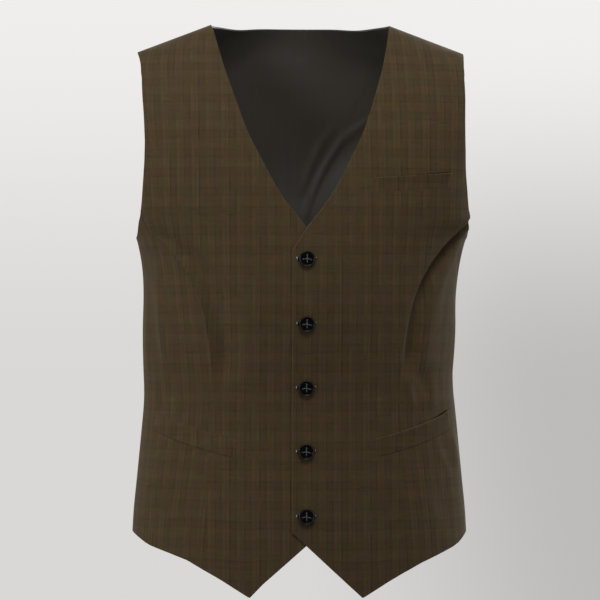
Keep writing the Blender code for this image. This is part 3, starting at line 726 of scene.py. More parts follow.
def armhole_x(z, face):
    """Half width of the armhole edge at a height, where its oval meets the figure."""
    oval = ARMHOLES[face]
    oval_power = oval["top_power"] if z > ARMHOLE_MIDDLE_Z else oval["foot_power"]
    rise = min(abs(z - ARMHOLE_MIDDLE_Z) / ARMHOLE_HALF_HEIGHT, 1.0)
    y = oval["reach"] * (1.0 - rise ** oval_power) ** (1.0 / oval_power)
    exponent = power(z, face)
    return half_width(z) * (1.0 - (y / depth(z, face)) ** exponent) ** (1.0 / exponent)


ARMHOLE_LEVELS = armhole_heights(ARMHOLE_ROWS)
PRINCESS_TOP_Z = ARMHOLE_LEVELS[PRINCESS_TOP_ROW]
PRINCESS_POINTS = PRINCESS_SEAM + ((PRINCESS_TOP_Z, armhole_x(PRINCESS_TOP_Z, FRONT)),)


def princess_x(z):
    return monotone(*columns_of(PRINCESS_POINTS), np.clip(z, PRINCESS_SEAM[-1][0], PRINCESS_TOP_Z))


def side_heights():
    """Side heights of the rows from the hem to the shoulder point, crowded where edges roll."""
    below = np.linspace(SIDE_HEM_Z, NECK_BREAK_Z, ROWS_BELOW_BREAK + 1)
    hem = SIDE_HEM_Z + EDGE_STOPS
    at_break = np.linspace(NECK_BREAK_Z, UNDERARM_Z, ROWS_AT_BREAK + 1)
    return np.concatenate([hem, below[1:], at_break[1:-1], ARMHOLE_LEVELS])


HEIGHTS = side_heights()
UNDERARM_ROW = len(HEIGHTS) - len(ARMHOLE_LEVELS)
PRINCESS_ROW = UNDERARM_ROW + PRINCESS_TOP_ROW


def shoulder_share(side_z):
    """0 at the underarm and below it, 1 at the shoulder seam."""
    return min(max((side_z - UNDERARM_Z) / (-SHOULDER_DROP - UNDERARM_Z), 0.0), 1.0)


def height_at(x, outer_x, side_z):
    """Rows are level up to the underarm, then fan out to meet the sloping shoulder."""
    slope_share = np.clip((np.abs(x) - NECK_HALF) / (outer_x - NECK_HALF), 0.0, 1.0)
    return side_z + SHOULDER_DROP * shoulder_share(side_z) * (1.0 - slope_share)


def hem_share(z):
    return np.clip((HEM_FADE_Z - z) / (HEM_FADE_Z - SIDE_HEM_Z), 0.0, 1.0)


def front_hem_height(x, z):
    return z + hem_share(z) * (np.interp(x, *columns_of(HEM_EDGE)) - SIDE_HEM_Z)


def back_hem_height(x, z):
    return z + hem_share(z) * BACK_HEM_RISE * (1.0 - (np.abs(x) / half_width(z)) ** 2)


def crowded(angle, columns):
    """Stops from 0 to 1 that crowd towards 1 in step with the sine of an angle."""
    return np.sin(angle * np.linspace(0.0, 1.0, columns + 1)) / math.sin(angle)


def with_edges(xs, zs, face, first=True):
    """The same row of places, with the close stops that a rolled edge needs at its ends."""
    ways = running_total(np.linalg.norm(np.diff(figure_points(xs, zs, face), axis=0), axis=1))
    length = max(ways[-1], LEAST_LENGTH)
    stops = EDGE_STOPS * min(1.0, EDGE_STOPS_SHARE * length / EDGE_STOPS[-1])
    start = stops if first else stops[:1]
    inner = mix(start[-1], length - stops[-1], ways / length)[1:-1]
    stops = np.concatenate([start, inner, length - stops[::-1]])
    new_zs = np.interp(stops, ways, zs)
    turns = np.interp(stops, ways, section_turn(xs, zs, face))
    new_xs = np.where(stops > length / 2.0, section_x(turns, new_zs, face), np.interp(stops, ways, xs))
    new_xs[0], new_xs[-1] = xs[0], xs[-1]
    return new_xs, new_zs


def onto_shoulder(xs, zs):
    """The top row of a panel, with its outer part on the shoulder seam itself."""
    on_seam = (xs > NECK_HALF) & (zs > -SHOULDER_DROP)
    return np.where(on_seam, half_width(zs), xs), zs


def front_places():
    """Half widths and heights of a front's grid, from its edge to the princess seam or armhole."""
    tip_share = (TIP_X - OVERLAP) / (PRINCESS_SEAM[-1][1] - OVERLAP)
    places = []
    for k, side_z in enumerate(HEIGHTS):
        joins_side = k <= PRINCESS_ROW
        inner_x = float(neck_x(side_z + SHOULDER_DROP * shoulder_share(side_z)))
        seam_z = float(front_hem_height(princess_x(side_z), side_z))
        outer_x = float(princess_x(seam_z)) if joins_side else float(armhole_x(side_z, FRONT))
        strips_end = inner_x + 2.0 * OVERLAP
        middle_x = mix(strips_end, outer_x, tip_share)
        strip = np.linspace(inner_x, strips_end, STRIP_COLUMNS + 1)
        middle = np.linspace(strips_end, middle_x, MIDDLE_COLUMNS + 1)
        outer = mix(middle_x, outer_x, crowded(FRONT_CROWDING, OUTER_COLUMNS))
        xs = np.concatenate([strip, middle[1:], outer[1:]])
        zs = front_hem_height(xs, height_at(xs, outer_x, side_z))
        if joins_side:
            share = np.clip((xs - middle_x) / (outer_x - middle_x), 0.0, 1.0)
            zs = zs + (seam_z - zs[-1]) * share ** 2
        places.append(with_edges(xs, zs, FRONT))
    places[-1] = onto_shoulder(*places[-1])
    return places


def side_places():
    """The grid of a side panel, from the princess seam to the side seam or the armhole."""
    stops = np.linspace(0.0, 1.0, SIDE_COLUMNS + 1)
    lead = np.clip(1.0 - stops / SIDE_LEAD_SHARE, 0.0, 1.0) ** 2
    places = []
    for k, side_z in enumerate(HEIGHTS[:PRINCESS_ROW + 1]):
        seam_z = float(front_hem_height(princess_x(side_z), side_z))
        first_turn = section_turn(princess_x(seam_z), seam_z, FRONT)
        last_turn = math.pi / 2.0
        if k > UNDERARM_ROW:
            last_turn = section_turn(armhole_x(side_z, FRONT), side_z, FRONT)
        turns = mix(first_turn, last_turn, stops)
        zs = front_hem_height(section_x(turns, side_z, FRONT), side_z)
        xs = section_x(turns, zs, FRONT)
        xs = xs + (princess_x(seam_z) - xs[0]) * lead
        zs = zs + (seam_z - zs[0]) * lead
        places.append(with_edges(xs, zs, FRONT))
    return places


def back_row(side_z, middle_columns):
    """One row of half the back, from the centre back to the side seam or the armhole."""
    share = shoulder_share(side_z)
    outer_x = float(armhole_x(side_z, BACK)) if share > 0.0 else float(half_width(side_z))
    middle_x = mix(BACK_MIDDLE_X, NECK_HALF, share)
    middle_turn = float(section_turn(middle_x, height_at(middle_x, outer_x, side_z), BACK))
    outer_turn = float(section_turn(outer_x, side_z, BACK))
    widest = mix(BACK_CROWDING_LOW, BACK_CROWDING_TOP, share ** 2)
    inner = middle_x * crowded(widest, middle_columns)
    upper = ease((share - UPPER_BACK_SHARE) / UPPER_BACK_BLEND + 0.5)
    middle_turn = mix(middle_turn, min(middle_turn, UPPER_BACK_MIDDLE_TURN), upper)
    outer_turn = mix(outer_turn, min(outer_turn, UPPER_BACK_OUTER_TURN), upper)
    round_the_side = section_x(np.linspace(middle_turn, outer_turn, BACK_COLUMNS + 1), side_z, BACK)
    shares = (round_the_side - round_the_side[0]) / (round_the_side[-1] - round_the_side[0])
    xs = np.concatenate([inner, mix(middle_x, outer_x, shares)[1:]])
    arch = BACK_NECK_RISE * np.clip(1.0 - (xs / NECK_HALF) ** 2, 0.0, 1.0)
    dip = BACK_NECK_DIP * swell(xs - BACK_NECK_DIP_X, BACK_NECK_DIP_HALF_WIDTH)
    rise = arch * share ** BACK_NECK_RISE_POWER - dip * share ** BACK_NECK_DIP_POWER
    zs = back_hem_height(xs, height_at(xs, outer_x, side_z) + rise)
    if share == 0.0:
        lead = np.clip((xs - middle_x) / (outer_x - middle_x), 0.0, 1.0) ** 2
        xs = xs + (half_width(zs[-1]) - xs[-1]) * lead
    return xs, zs


def back_places():
    places = [with_edges(*back_row(side_z, BACK_COLUMNS), BACK) for side_z in HEIGHTS]
    places[-1] = onto_shoulder(*places[-1])
    return places


def lining_places():
    """The grid of the whole back lining, from the right side seam to the left one."""
    halves = [with_edges(*back_row(side_z, LINING_COLUMNS), BACK, first=False) for side_z in HEIGHTS]
    halves[-1] = onto_shoulder(*halves[-1])
    return [(np.concatenate([-xs[:0:-1], xs]), np.concatenate([zs[:0:-1], zs])) for xs, zs in halves]


# Flat places on the cloth, for its weave.

def way_across(x, z, face):
    """The way along a level section from the centre line to a half width x."""
    turns = section_turn(x, z, face)[..., None] * np.linspace(0.0, 1.0, SECTION_STOPS)
    level = np.asarray(z)[..., None]
    exponent = 2.0 / power(level, face)
    xs = half_width(level) * np.sin(turns) ** exponent
    ys = depth(level, face) * np.cos(turns) ** exponent
    way = np.hypot(np.diff(xs, axis=-1), np.diff(ys, axis=-1)).sum(axis=-1)
    return np.copysign(way, x)


def way_up(z, outline):
    """The way up an outline of the figure, equal to z at the chest."""
    ways = running_total(np.hypot(np.diff(LEVELS), np.diff(outline)))
    at_chest = np.interp(WEFT_PHASE, LEVELS, ways)
    return np.interp(z, LEVELS, ways) - at_chest + WEFT_PHASE


def front_weave(x, z):
    side = LEFT if np.mean(x) > 0.0 else RIGHT
    return np.stack([way_across(x, z, FRONT) - WARP_PHASE[side], way_up(z, DEPTHS[FRONT])], axis=-1)


def side_weave(x, z):
    """The side panel's grain runs beside its side seam."""
    to_side = way_across(np.copysign(half_width(z), x), z, FRONT)
    return np.stack([way_across(x, z, FRONT) - to_side, way_up(z, HALF_WIDTHS)], axis=-1)


def back_weave(x, z):
    return np.stack([way_across(x, z, BACK), way_up(z, DEPTHS[BACK])], axis=-1)


# Shells.

def rolled(distance, radius):
    """How far the face of a wall sinks at a distance from an edge that rolls over."""
    near = np.clip(1.0 - distance / radius, 0.0, 1.0)
    return radius * (1.0 - np.sqrt(1.0 - near ** 2))


def edge_distances(points):
    """The way over the cloth from each point to the four edges of its grid."""
    from_low, from_first = [running_total(np.linalg.norm(np.diff(points, axis=axis), axis=-1), axis)
                            for axis in (0, 1)]
    return {"first": from_first, "last": from_first[:, -1:] - from_first,
            "low": from_low, "high": from_low[-1:] - from_low}


def grid_faces(rows, columns, start, flip):
    """Quads of a grid of points that are numbered row by row from start."""
    index = start + np.arange(rows * columns).reshape(rows, columns)
    quads = np.stack([index[:-1, :-1], index[:-1, 1:], index[1:, 1:], index[1:, :-1]], axis=-1)
    quads = quads.reshape(-1, 4)
    return quads[:, ::-1] if flip else quads


def rim_faces(rows, columns, flip):
    """Quads that close the gap between two grids of the same size round their edge."""
    index = np.arange(rows * columns).reshape(rows, columns)
    edge = np.concatenate([index[0, :-1], index[:-1, -1], index[-1, :0:-1], index[:0:-1, 0]])
    after = np.roll(edge, -1)
    inner = rows * columns
    quads = np.stack([edge, edge + inner, after + inner, after], axis=-1)
    return quads[:, ::-1] if flip else quads


def new_piece(name, mesh, materials):
    piece = bpy.data.objects.new(name, mesh)
    bpy.context.scene.collection.objects.link(piece)
    for material in materials:
        mesh.materials.append(material)
    return piece


def shell_piece(name, outer, inner, weave, normals, materials, inside=None):
    """A closed piece from the outer and inner grids of a wall, with its weave as a UV map.

    normals are the outward directions over the grid, and inside gives the number of the material
    at each quad of the inner grid.
    """
    rows, columns = outer.shape[:2]
    count = rows * columns
    middle = rows // 2, columns // 2
    along = outer[rows // 2, columns // 2 + 1] - outer[middle]
    upward = outer[rows // 2 + 1, columns // 2] - outer[middle]
    flip = float(np.dot(np.cross(along, upward), normals[middle])) < 0.0
    points = np.concatenate([outer.reshape(-1, 3), inner.reshape(-1, 3)])
    faces = np.concatenate([grid_faces(rows, columns, 0, flip),
                            grid_faces(rows, columns, count, not flip),
                            rim_faces(rows, columns, flip)])
    mesh = bpy.data.meshes.new(name)
    mesh.from_pydata(points.tolist(), [], faces.tolist())
    layer = mesh.uv_layers.new(name="weave")
    corners = np.empty(len(mesh.loops), dtype=np.int64)
    mesh.loops.foreach_get("vertex_index", corners)
    flat = weave.reshape(-1, 2)[corners % count]
    layer.data.foreach_set("uv", flat.astype(np.float32).ravel())
    piece = new_piece(name, mesh, materials)
    if inside is not None:
        indices = np.zeros(len(faces), dtype=np.int32)
        indices[inside.size:2 * inside.size] = inside.ravel()
        mesh.polygons.foreach_set("material_index", indices)
    tidy_mesh(mesh)
    return piece


def tidy_mesh(mesh):
    """Welds points that coincide, and shades the mesh smooth."""
    bm = bmesh.new()
    bm.from_mesh(mesh)
    bmesh.ops.remove_doubles(bm, verts=bm.verts, dist=WELD_DISTANCE)
    bmesh.ops.recalc_face_normals(bm, faces=bm.faces)
    bm.to_mesh(mesh)
    bm.free()
    mesh.shade_smooth()
    mesh.set_sharp_from_angle(angle=SHARP_ANGLE)


def dress(piece, slot, *nodes):
    """The piece stands for these nodes of the model, whose parts are hidden. slot is not used."""
    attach(piece, "root")
    if nodes:
        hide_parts(*nodes)
    return piece


def left_front_lift(x, z):
    """The left front lies on the right one, and settles back onto the figure outboard of it."""
    across = 1.0 - ease((x - OVERLAP) / LIFT_BLEND_WIDTH)
    upward = 1.0 - ease((z - LIFT_FULL_Z) / (LIFT_TOP_Z - LIFT_FULL_Z))
    ridge = EDGE_RIDGE * swell(x - neck_x(z) - EDGE_RIDGE_AWAY, EDGE_RIDGE_HALF_WIDTH)
    return (FRONT_LIFT * across + ridge) * upward


def no_extra(x, z):
    return np.zeros(np.shape(x))


def spread(share, edge):
    """An edge's roll as a number, or one for each row or each column of a grid."""
    if np.ndim(share) > 0 and edge in ("first", "last"):
        return share[:, None]
    return share


def make_shell(name, places, side, face, wall, weave, materials, edges, out=0.0, extra=no_extra):
    """A panel of cloth whose wall runs inward from out, with edges that roll over.

    edges gives the roll of its first, last, low and high edge as a share of the wall. Of the
    materials, the first is the outside, the second the inside and the third a facing.
    """
    xs = side * np.stack([row[0] for row in places])
    zs = np.stack([row[1] for row in places])
    points = figure_points(xs, zs, face)
    normals = figure_normals(points, face)
    height = folds_at(xs, zs, face) + extra(xs, zs) + out
    surface = points + normals * height[..., None]
    distances = edge_distances(surface)
    sink = np.zeros(xs.shape)
    inner_sink = np.zeros(xs.shape)
    for edge, share in edges.items():
        share = spread(share, edge)
        roll = rolled(distances[edge], wall * share)
        sink = np.maximum(sink, roll)
        inner_sink = np.maximum(inner_sink, np.where(share >= FREE_EDGE, roll, 0.0))
    outer = surface - normals * sink[..., None]
    inner = surface - normals * (wall - inner_sink)[..., None]
    from_first = distances["first"][:-1, :-1]
    inside = np.ones(from_first.shape, dtype=np.int32)
    if len(materials) > 2:
        inside[from_first < FACING_WIDTH] = 2
    return shell_piece(name, outer, inner, weave(xs, zs), normals, materials, inside)


def roll_up_edge(rows, seam_rows):
    """The roll of an edge that is a seam for its first rows and free above them."""
    return np.where(np.arange(rows) <= seam_rows, SEAM_EDGE, FREE_EDGE)


def princess_roll(rows):
    """The roll along a princess seam, which lies almost flat below the waist; free above it."""
    low = ease((FLAT_SEAM_START_Z - HEIGHTS[:rows]) / (FLAT_SEAM_START_Z - FLAT_SEAM_FULL_Z))
    on_seam = np.arange(rows) <= PRINCESS_ROW
    return np.where(on_seam, mix(PRINCESS_EDGE, FLAT_SEAM_EDGE, low), FREE_EDGE)


def back_top_roll(places):
    """Free along the neck, and sewn along the shoulders."""
    return np.where(np.abs(places[-1][0]) < NECK_HALF, FREE_EDGE, SHOULDER_EDGE)


def make_front(side, materials):
    name = "front_" + SIDE_NAMES[side]
    edges = {"first": FREE_EDGE, "last": princess_roll(len(HEIGHTS)),
             "low": FREE_EDGE, "high": SHOULDER_EDGE}
    piece = make_shell("wool_" + name, front_places(), side, FRONT, FRONT_WALL, front_weave,
                       materials, edges, extra=left_front_lift if side == LEFT else no_extra)
    return dress(piece, "wool_check", name)


def make_side(side, materials):
    name = "side_" + SIDE_NAMES[side]
    edges = {"first": princess_roll(PRINCESS_ROW + 1),
             "last": roll_up_edge(PRINCESS_ROW + 1, UNDERARM_ROW), "low": FREE_EDGE}
    piece = make_shell("wool_" + name, side_places(), side, FRONT, FRONT_WALL, side_weave,
                       materials, edges)
    return dress(piece, "wool_check", name)


def make_back(side, materials):
    name = "back_" + SIDE_NAMES[side]
    places = back_places()
    edges = {"first": SEAM_EDGE, "last": roll_up_edge(len(HEIGHTS), UNDERARM_ROW),
             "low": FREE_EDGE, "high": back_top_roll(places)}
    piece = make_shell("satin_" + name, places, side, BACK, BACK_WALL, back_weave, materials, edges)
    return dress(piece, "back_satin", name)


def lining_creases(x, z):
    """The lining's creases stand towards the front, off the back, and fade out at the neck's edge."""
    total = np.zeros(np.shape(x))
    for half_width_of_line, height, line in LINING_CREASES:
        crease = line_swell(x, z, line, half_width_of_line, LINING_CREASE_END_POWER)
        total = total - height * crease
    return total * ease(-z / LINING_NECK_FADE)


def make_back_lining(materials):
    places = lining_places()
    edges = {"first": SEAM_EDGE, "last": SEAM_EDGE, "low": FREE_EDGE, "high": back_top_roll(places)}
    piece = make_shell("satin_back_lining", places, LEFT, BACK, LINING_WALL, back_weave, materials,
                       edges, out=-BACK_WALL, extra=lining_creases)
    return dress(piece, "lining_satin", "back_lining")


# Welts.

def welt_places(side, welt, across, up):
    """Half widths and heights on a welt, for shares across it and up it."""
    turns = [float(section_turn(x, z, FRONT)) for x, z in (welt["inner"], welt["outer"])]
    middle_z = mix(welt["inner"][1], welt["outer"][1], across)
    middle_x = section_x(mix(turns[0], turns[1], across), middle_z, FRONT)
    x = side * (middle_x - welt["lean"] * (up - 0.5))
    return x, middle_z + welt["height"] * (up - 0.5)


def front_surface(side, x, z):
    """Points of the figure, their outward directions, and how far the front's face stands off."""
    points = figure_points(x, z, FRONT)
    lift = left_front_lift(x, z) if side == LEFT else 0.0
    height = folds_at(x, z, FRONT) + lift
    return points, figure_normals(points, FRONT), height[..., None]


def with_close_ends(cells, length):
    """Stops from 0 to 1 across a length, with the close stops of a rolled edge at both ends."""
    close = EDGE_STOPS / length
    inner = np.linspace(close[-1], 1.0 - close[-1], cells)[1:-1]
    return np.concatenate([close, inner, 1.0 - close[::-1]])


def make_welt(name, side, welt, materials):
    """A strip on the front, thickest along its mouth, which may gape at its outer end."""
    columns = with_close_ends(WELT_COLUMNS, math.dist(welt["inner"], welt["outer"]))
    across, up = np.meshgrid(columns, with_close_ends(WELT_ROWS, welt["height"]))
    x, z = welt_places(side, welt, across, up)
    points, normals, low = front_surface(side, x, z)
    end_share = ease(np.minimum(across, 1.0 - across) / WELT_END_FADE)
    thickness = mix(welt["foot"], welt["top"], up ** WELT_SWELL_POWER)
    thickness = thickness * mix(welt["ends"], 1.0, end_share)
    gape = welt["gape"] * up ** GAPE_UP_POWER * across ** GAPE_ACROSS_POWER
    surface = points + normals * (low + (gape + thickness)[..., None])
    sink = np.zeros(x.shape)
    for distance in edge_distances(surface).values():
        sink = np.maximum(sink, rolled(distance, WELT_ROLL))
    outer = surface - normals * np.minimum(sink, thickness * WELT_ROLL_MOST)[..., None]
    inner = points + normals * (low + gape[..., None] - WELT_SINK)
    weave = front_weave(x, z) + np.array(WELT_WEAVE_SHIFT)
    piece = shell_piece("wool_" + name, outer, inner, weave, normals, materials)
    return dress(piece, "wool_check", name)


def make_mouth(name, side, welt, materials):
    """The dark mouth of a pocket above its welt, a thin pointed leaf coloured with painted shade."""
    start, end, half_height = welt["mouth"]
    along = np.linspace(0.0, 1.0, MOUTH_COLUMNS + 1)
    half = half_height * np.sin(math.pi * along ** MOUTH_SKEW) ** MOUTH_BLUNTNESS + MOUTH_THICKNESS
    across, upward = np.meshgrid(mix(start, end, along), (-1.0, 0.0, 1.0))
    x, z = welt_places(side, welt, across, 1.0)
    z = z + half * (1.0 + upward)
    points, normals, low = front_surface(side, x, z)
    outer = points + normals * (low + MOUTH_THICKNESS)
    inner = points + normals * (low - MOUTH_THICKNESS)
    piece = shell_piece("mouth_" + name, outer, inner, front_weave(x, z), normals, materials)
    return dress(piece, "wool_check")


# Buttons, their threads and their holes, each made round the origin and then settled.

def round_places(sides):
    """The cosine and sine of even turns round a circle."""
    turns = [2.0 * math.pi * side / sides for side in range(sides)]
    return [(math.cos(turn), math.sin(turn)) for turn in turns]


def join_rings(bm, rings):
    """Quads between each ring of points and the next."""
    for near, far in zip(rings, rings[1:]):
        for k in range(len(near)):
            after = (k + 1) % len(near)
            bm.faces.new((near[k], near[after], far[after], far[k]))


def piece_from(bm, name, materials):
    mesh = bpy.data.meshes.new(name)
    bmesh.ops.recalc_face_normals(bm, faces=bm.faces)
    bm.to_mesh(mesh)
    bm.free()
    mesh.shade_smooth()
    return new_piece(name, mesh, materials)


def settle(piece, k, out=0.0, shift=0.0):
    """Moves a piece made round the origin onto the front at button k, face outward."""
    z = np.array([TOP_BUTTON_Z - BUTTON_SPACING * k])
    point, normal, height = front_surface(LEFT, np.zeros(1), z)
    seat = Vector((point + normal * height)[0])
    across = Vector((1.0, 0.0, 0.0))
    outward = Vector(normal[0])
    turn = Matrix((across, outward.cross(across), outward)).transposed().to_4x4()
    seat = seat + across * shift + outward * out
    piece.data.transform(Matrix.Translation(seat) @ turn)
    piece.data.update()


def hole_sink(x, y):
    """How deep the button's face is at a place: its four holes."""
    sink = 0.0
    for hole_x, hole_y in HOLE_PLACES:
        away = math.hypot(x - hole_x, y - hole_y)
        share = min(max((HOLE_RADIUS - away) / HOLE_BEVEL, 0.0), 1.0)
        sink = max(sink, HOLE_DEPTH * share)
    return sink


def button_ring(bm, radius, height):
    """A ring of points round a button, sunk where its holes are."""
    places = [(radius * cosine, radius * sine) for cosine, sine in round_places(BUTTON_SIDES)]
    return [bm.verts.new((x, y, height - hole_sink(x, y))) for x, y in places]


def make_button(k, materials):
    name = "button_" + str(k + 1)
    dish_radius, dish_height = DISH_EDGE
    dish = [(dish_radius * step / DISH_RINGS, dish_height) for step in range(1, DISH_RINGS + 1)]
    bm = bmesh.new()
    middle = bm.verts.new((0.0, 0.0, dish_height))
    rings = [button_ring(bm, radius, height) for radius, height in (*dish, *BUTTON_RIM)]
    for near, after in zip(rings[0], rings[0][1:] + rings[0][:1]):
        bm.faces.new((middle, near, after))
    join_rings(bm, rings)
    bm.faces.new(rings[-1])
    piece = piece_from(bm, "gloss_" + name, materials)
    tidy_mesh(piece.data)
    # Faces on the rim's crest that face out take the paler second finish, a painted highlight ring.
    for face in piece.data.polygons:
        away = math.hypot(face.center.x, face.center.y)
        on_painted_highlight = RIM_CREST[0] < away < RIM_CREST[1]
        face.material_index = int(on_painted_highlight and face.normal.z > RIM_CREST_LEAST_UP)
    settle(piece, k, out=BUTTON_SHANK_GAP)
    return dress(piece, "button_black", name)


def add_tube(bm, path, radius, sides):
    """A round tube along a path of points, closed at both ends."""
    path = [Vector(point) for point in path]
    rings = []
    for point, before, after in zip(path, path[:1] + path, path[1:] + path[-1:]):
        along = (after - before).normalized()
        steep = abs(along.z) > STEEP_PATH
        across = along.orthogonal() if steep else along.cross(Vector((0.0, 0.0, 1.0)))
        across.normalize()
        upward = across.cross(along)
        places = [point + (across * cosine + upward * sine) * radius
                  for cosine, sine in round_places(sides)]
        rings.append([bm.verts.new(place) for place in places])
    join_rings(bm, rings)
    bm.faces.new(list(reversed(rings[0])))
    bm.faces.new(rings[-1])


def thread_path(start, end, offset):
    """One strand across the button's face from hole to hole, drawn to the middle on its way."""
    start, end = Vector((*start, 0.0)), Vector((*end, 0.0))
    beside = Vector((end.y - start.y, start.x - end.x, 0.0)).normalized() * offset
    to_middle = -(start + end) / 2.0
    path = []
    for i in range(THREAD_POINTS + 1):
        share = i / THREAD_POINTS
        arch = math.sin(math.pi * share)
        point = start.lerp(end, share) + to_middle * arch ** 2
        point = point + beside * mix(THREAD_SPLAY, 1.0, arch)
        point.z = DISH_EDGE[1] + mix(-THREAD_SINK, THREAD_RISE, arch ** THREAD_ARCH_POWER)
        path.append(point)
    return path


def make_thread(k, materials):
    """The cross of thread that holds a button, two strands each way."""
    bm = bmesh.new()
    for start, end in (HOLE_PLACES[:2], HOLE_PLACES[2:]):
        for offset in (-THREAD_RADIUS, THREAD_RADIUS):
            add_tube(bm, thread_path(start, end, offset), THREAD_RADIUS, THREAD_SIDES)
    piece = piece_from(bm, "thread_" + str(k + 1), materials)
    settle(piece, k, out=BUTTON_SHANK_GAP)
    return dress(piece, "button_black")


def eye_place(angle, grow):
    """A place on the pointed eye of a buttonhole's edge."""
    x = (BUTTONHOLE_HALF_LENGTH + grow) * math.cos(angle)
    pointed = abs(math.sin(angle)) ** BUTTONHOLE_POINTEDNESS
    y = (BUTTONHOLE_HALF_HEIGHT + grow) * math.sin(angle) * pointed
    return x, y


def sewn_piece(bm, name, k, materials):
    """A piece of a buttonhole, settled on the front."""
    piece = piece_from(bm, name + "_" + str(k + 1), materials)
    settle(piece, k, shift=BUTTONHOLE_SHIFT)
    return dress(piece, "wool_check")


def stitch_shares():
    return [step / STITCH_POINTS for step in range(STITCH_POINTS + 1)]


def make_buttonhole(k, materials):
    """The stitched edge of a buttonhole, each stitch a small ridge across it."""
    bm = bmesh.new()
    for i in range(BUTTONHOLE_STITCHES):
        angle = 2.0 * math.pi * (i + 0.5) / BUTTONHOLE_STITCHES
        inner_x, inner_y = eye_place(angle, 0.0)
        outer_x, outer_y = eye_place(angle, BUTTONHOLE_BAND)
        path = []
        for share in stitch_shares():
            rise = STITCH_HEIGHT * math.sqrt(math.sin(math.pi * share)) - STITCH_SINK
            path.append((mix(inner_x, outer_x, share), mix(inner_y, outer_y, share), rise))
        add_tube(bm, path, STITCH_RADIUS, STITCH_SIDES)
    return sewn_piece(bm, "buttonhole", k, materials)


def make_tack(k, materials):
    """The bar tacks across a buttonhole's two ends, in thread made pale as a painted glint."""
    bm = bmesh.new()
    for row in TACKS:
        tack = dict(zip(TACK_COLUMNS, row))
        path = []
        for share in stitch_shares():
            y = tack["middle"] + tack["half_length"] * (2.0 * share - 1.0)
            path.append((tack["x"], y, STITCH_HEIGHT * (0.5 + math.sin(math.pi * share))))
        add_tube(bm, path, TACK_RADIUS, STITCH_SIDES)
    return sewn_piece(bm, "tack", k, materials)


def make_slit(k, materials):
    """The dark mouth of a buttonhole, a thin leaf coloured with painted shade inside its stitches."""
    bm = bmesh.new()
    edge = [eye_place(2.0 * math.pi * i / SLIT_POINTS, -SLIT_INSET) for i in range(SLIT_POINTS)]
    rings = [[bm.verts.new((x, y, z)) for x, y in edge] for z in (SLIT_RISE, -SLIT_RISE)]
    join_rings(bm, rings)
    bm.faces.new(rings[0])
    bm.faces.new(list(reversed(rings[1])))
    return sewn_piece(bm, "slit", k, materials)


# Materials.

def feed(tree, socket, value):
    if isinstance(value, bpy.types.NodeSocket):
        tree.links.new(value, socket)
    else:
        socket.default_value = value


def node(tree, kind, values=(), **settings):
    """A new node with its settings, its inputs fed in order or by name from values."""
    made = tree.nodes.new("ShaderNode" + kind)
    for name, value in settings.items():
        setattr(made, name, value)
    by_place = values.items() if isinstance(values, dict) else enumerate(values)
    for place, value in by_place:
        if value is not None:
            feed(tree, made.inputs[place], value)
    return made


def math_of(tree, operation, *values):
    return node(tree, "Math", values, operation=operation).outputs[0]


def product(tree, first, second):
    return math_of(tree, "MULTIPLY", first, second)


def vector_of(tree, operation, *values):
    return node(tree, "VectorMath", values, operation=operation).outputs[0]


def ramp(tree, value, low, high, to_low=0.0, to_high=1.0):
    """Maps value smoothly from low..high to to_low..to_high."""
    made = node(tree, "MapRange", (value, low, high, to_low, to_high), interpolation_type="SMOOTHSTEP")
    return made.outputs[0]


def noise(tree, vector, per_metre_u, per_metre_v, seed, detail=2.0, output="Fac"):
    """Noise between 0 and 1 on the cloth, from a part of the noise of its own by the seed."""
    scaled = vector_of(tree, "MULTIPLY", vector, (per_metre_u, per_metre_v, 1.0))
    moved = vector_of(tree, "ADD", scaled, (seed, seed * 1.7, seed * 0.3))
    made = node(tree, "TexNoise", {"Vector": moved, "Scale": 1.0, "Detail": detail})
    return made.outputs[output]


def set_shader(shader, values):
    for name, value in values.items():
        shader.inputs[name].default_value = value


def new_material(name, color, roughness):
    material = bpy.data.materials.new(name)
    material.use_nodes = True
    shader = material.node_tree.nodes["Principled BSDF"]
    set_shader(shader, {"Base Color": (*color, 1.0), "Roughness": roughness})
    return material, material.node_tree, shader


def stripes(tree, way, pitch, profile, first_line):
    """The tone of a set of stripes, -1 to 1, with the profile's first line where way is 0."""
    turns = math_of(tree, "MULTIPLY_ADD", way, 1.0 / pitch, first_line)
    ramp_node = node(tree, "ValToRGB", (math_of(tree, "WRAP", turns, 1.0, 0.0),))
    stops = ramp_node.color_ramp.elements
    while len(stops) < len(profile):
        stops.new(0.5)
    for stop, (place, tone) in zip(stops, profile):
        stop.position = place
        stop.color = (0.5 + 0.5 * tone,) * 3 + (1.0,)
    return math_of(tree, "MULTIPLY_ADD", ramp_node.outputs["Color"], 2.0, -1.0)


def every_other(tree, way, pitch):
    """A strength that is 1 at one pair of lines and weaker at the next."""
    wave = math_of(tree, "COSINE", product(tree, way, math.pi / pitch))
    return math_of(tree, "MULTIPLY_ADD", wave, WEAK_PAIR / 2.0, 1.0 - WEAK_PAIR / 2.0)


def shade(tree, shader, color, amount, depth_of_shade):
    """Paints the colour, darker by depth_of_shade where amount is 1."""
    kept = math_of(tree, "MULTIPLY_ADD", amount, -depth_of_shade, 1.0)
    base = node(tree, "RGB").outputs[0]
    base.default_value = (*color, 1.0)
    feed(tree, shader.inputs["Base Color"], vector_of(tree, "SCALE", base, None, None, kept))


def roughen(tree, shader, grain, smoothest, roughest, low=0.3, high=0.7):
    """Varies the roughness with a noise, mostly between low and high."""
    feed(tree, shader.inputs["Roughness"], ramp(tree, grain, low, high, smoothest, roughest))


def add_bump(tree, shader, height, strength, distance):
    bump = node(tree, "Bump", {"Strength": strength, "Distance": distance, "Height": height})
    feed(tree, shader.inputs["Normal"], bump.outputs[0])


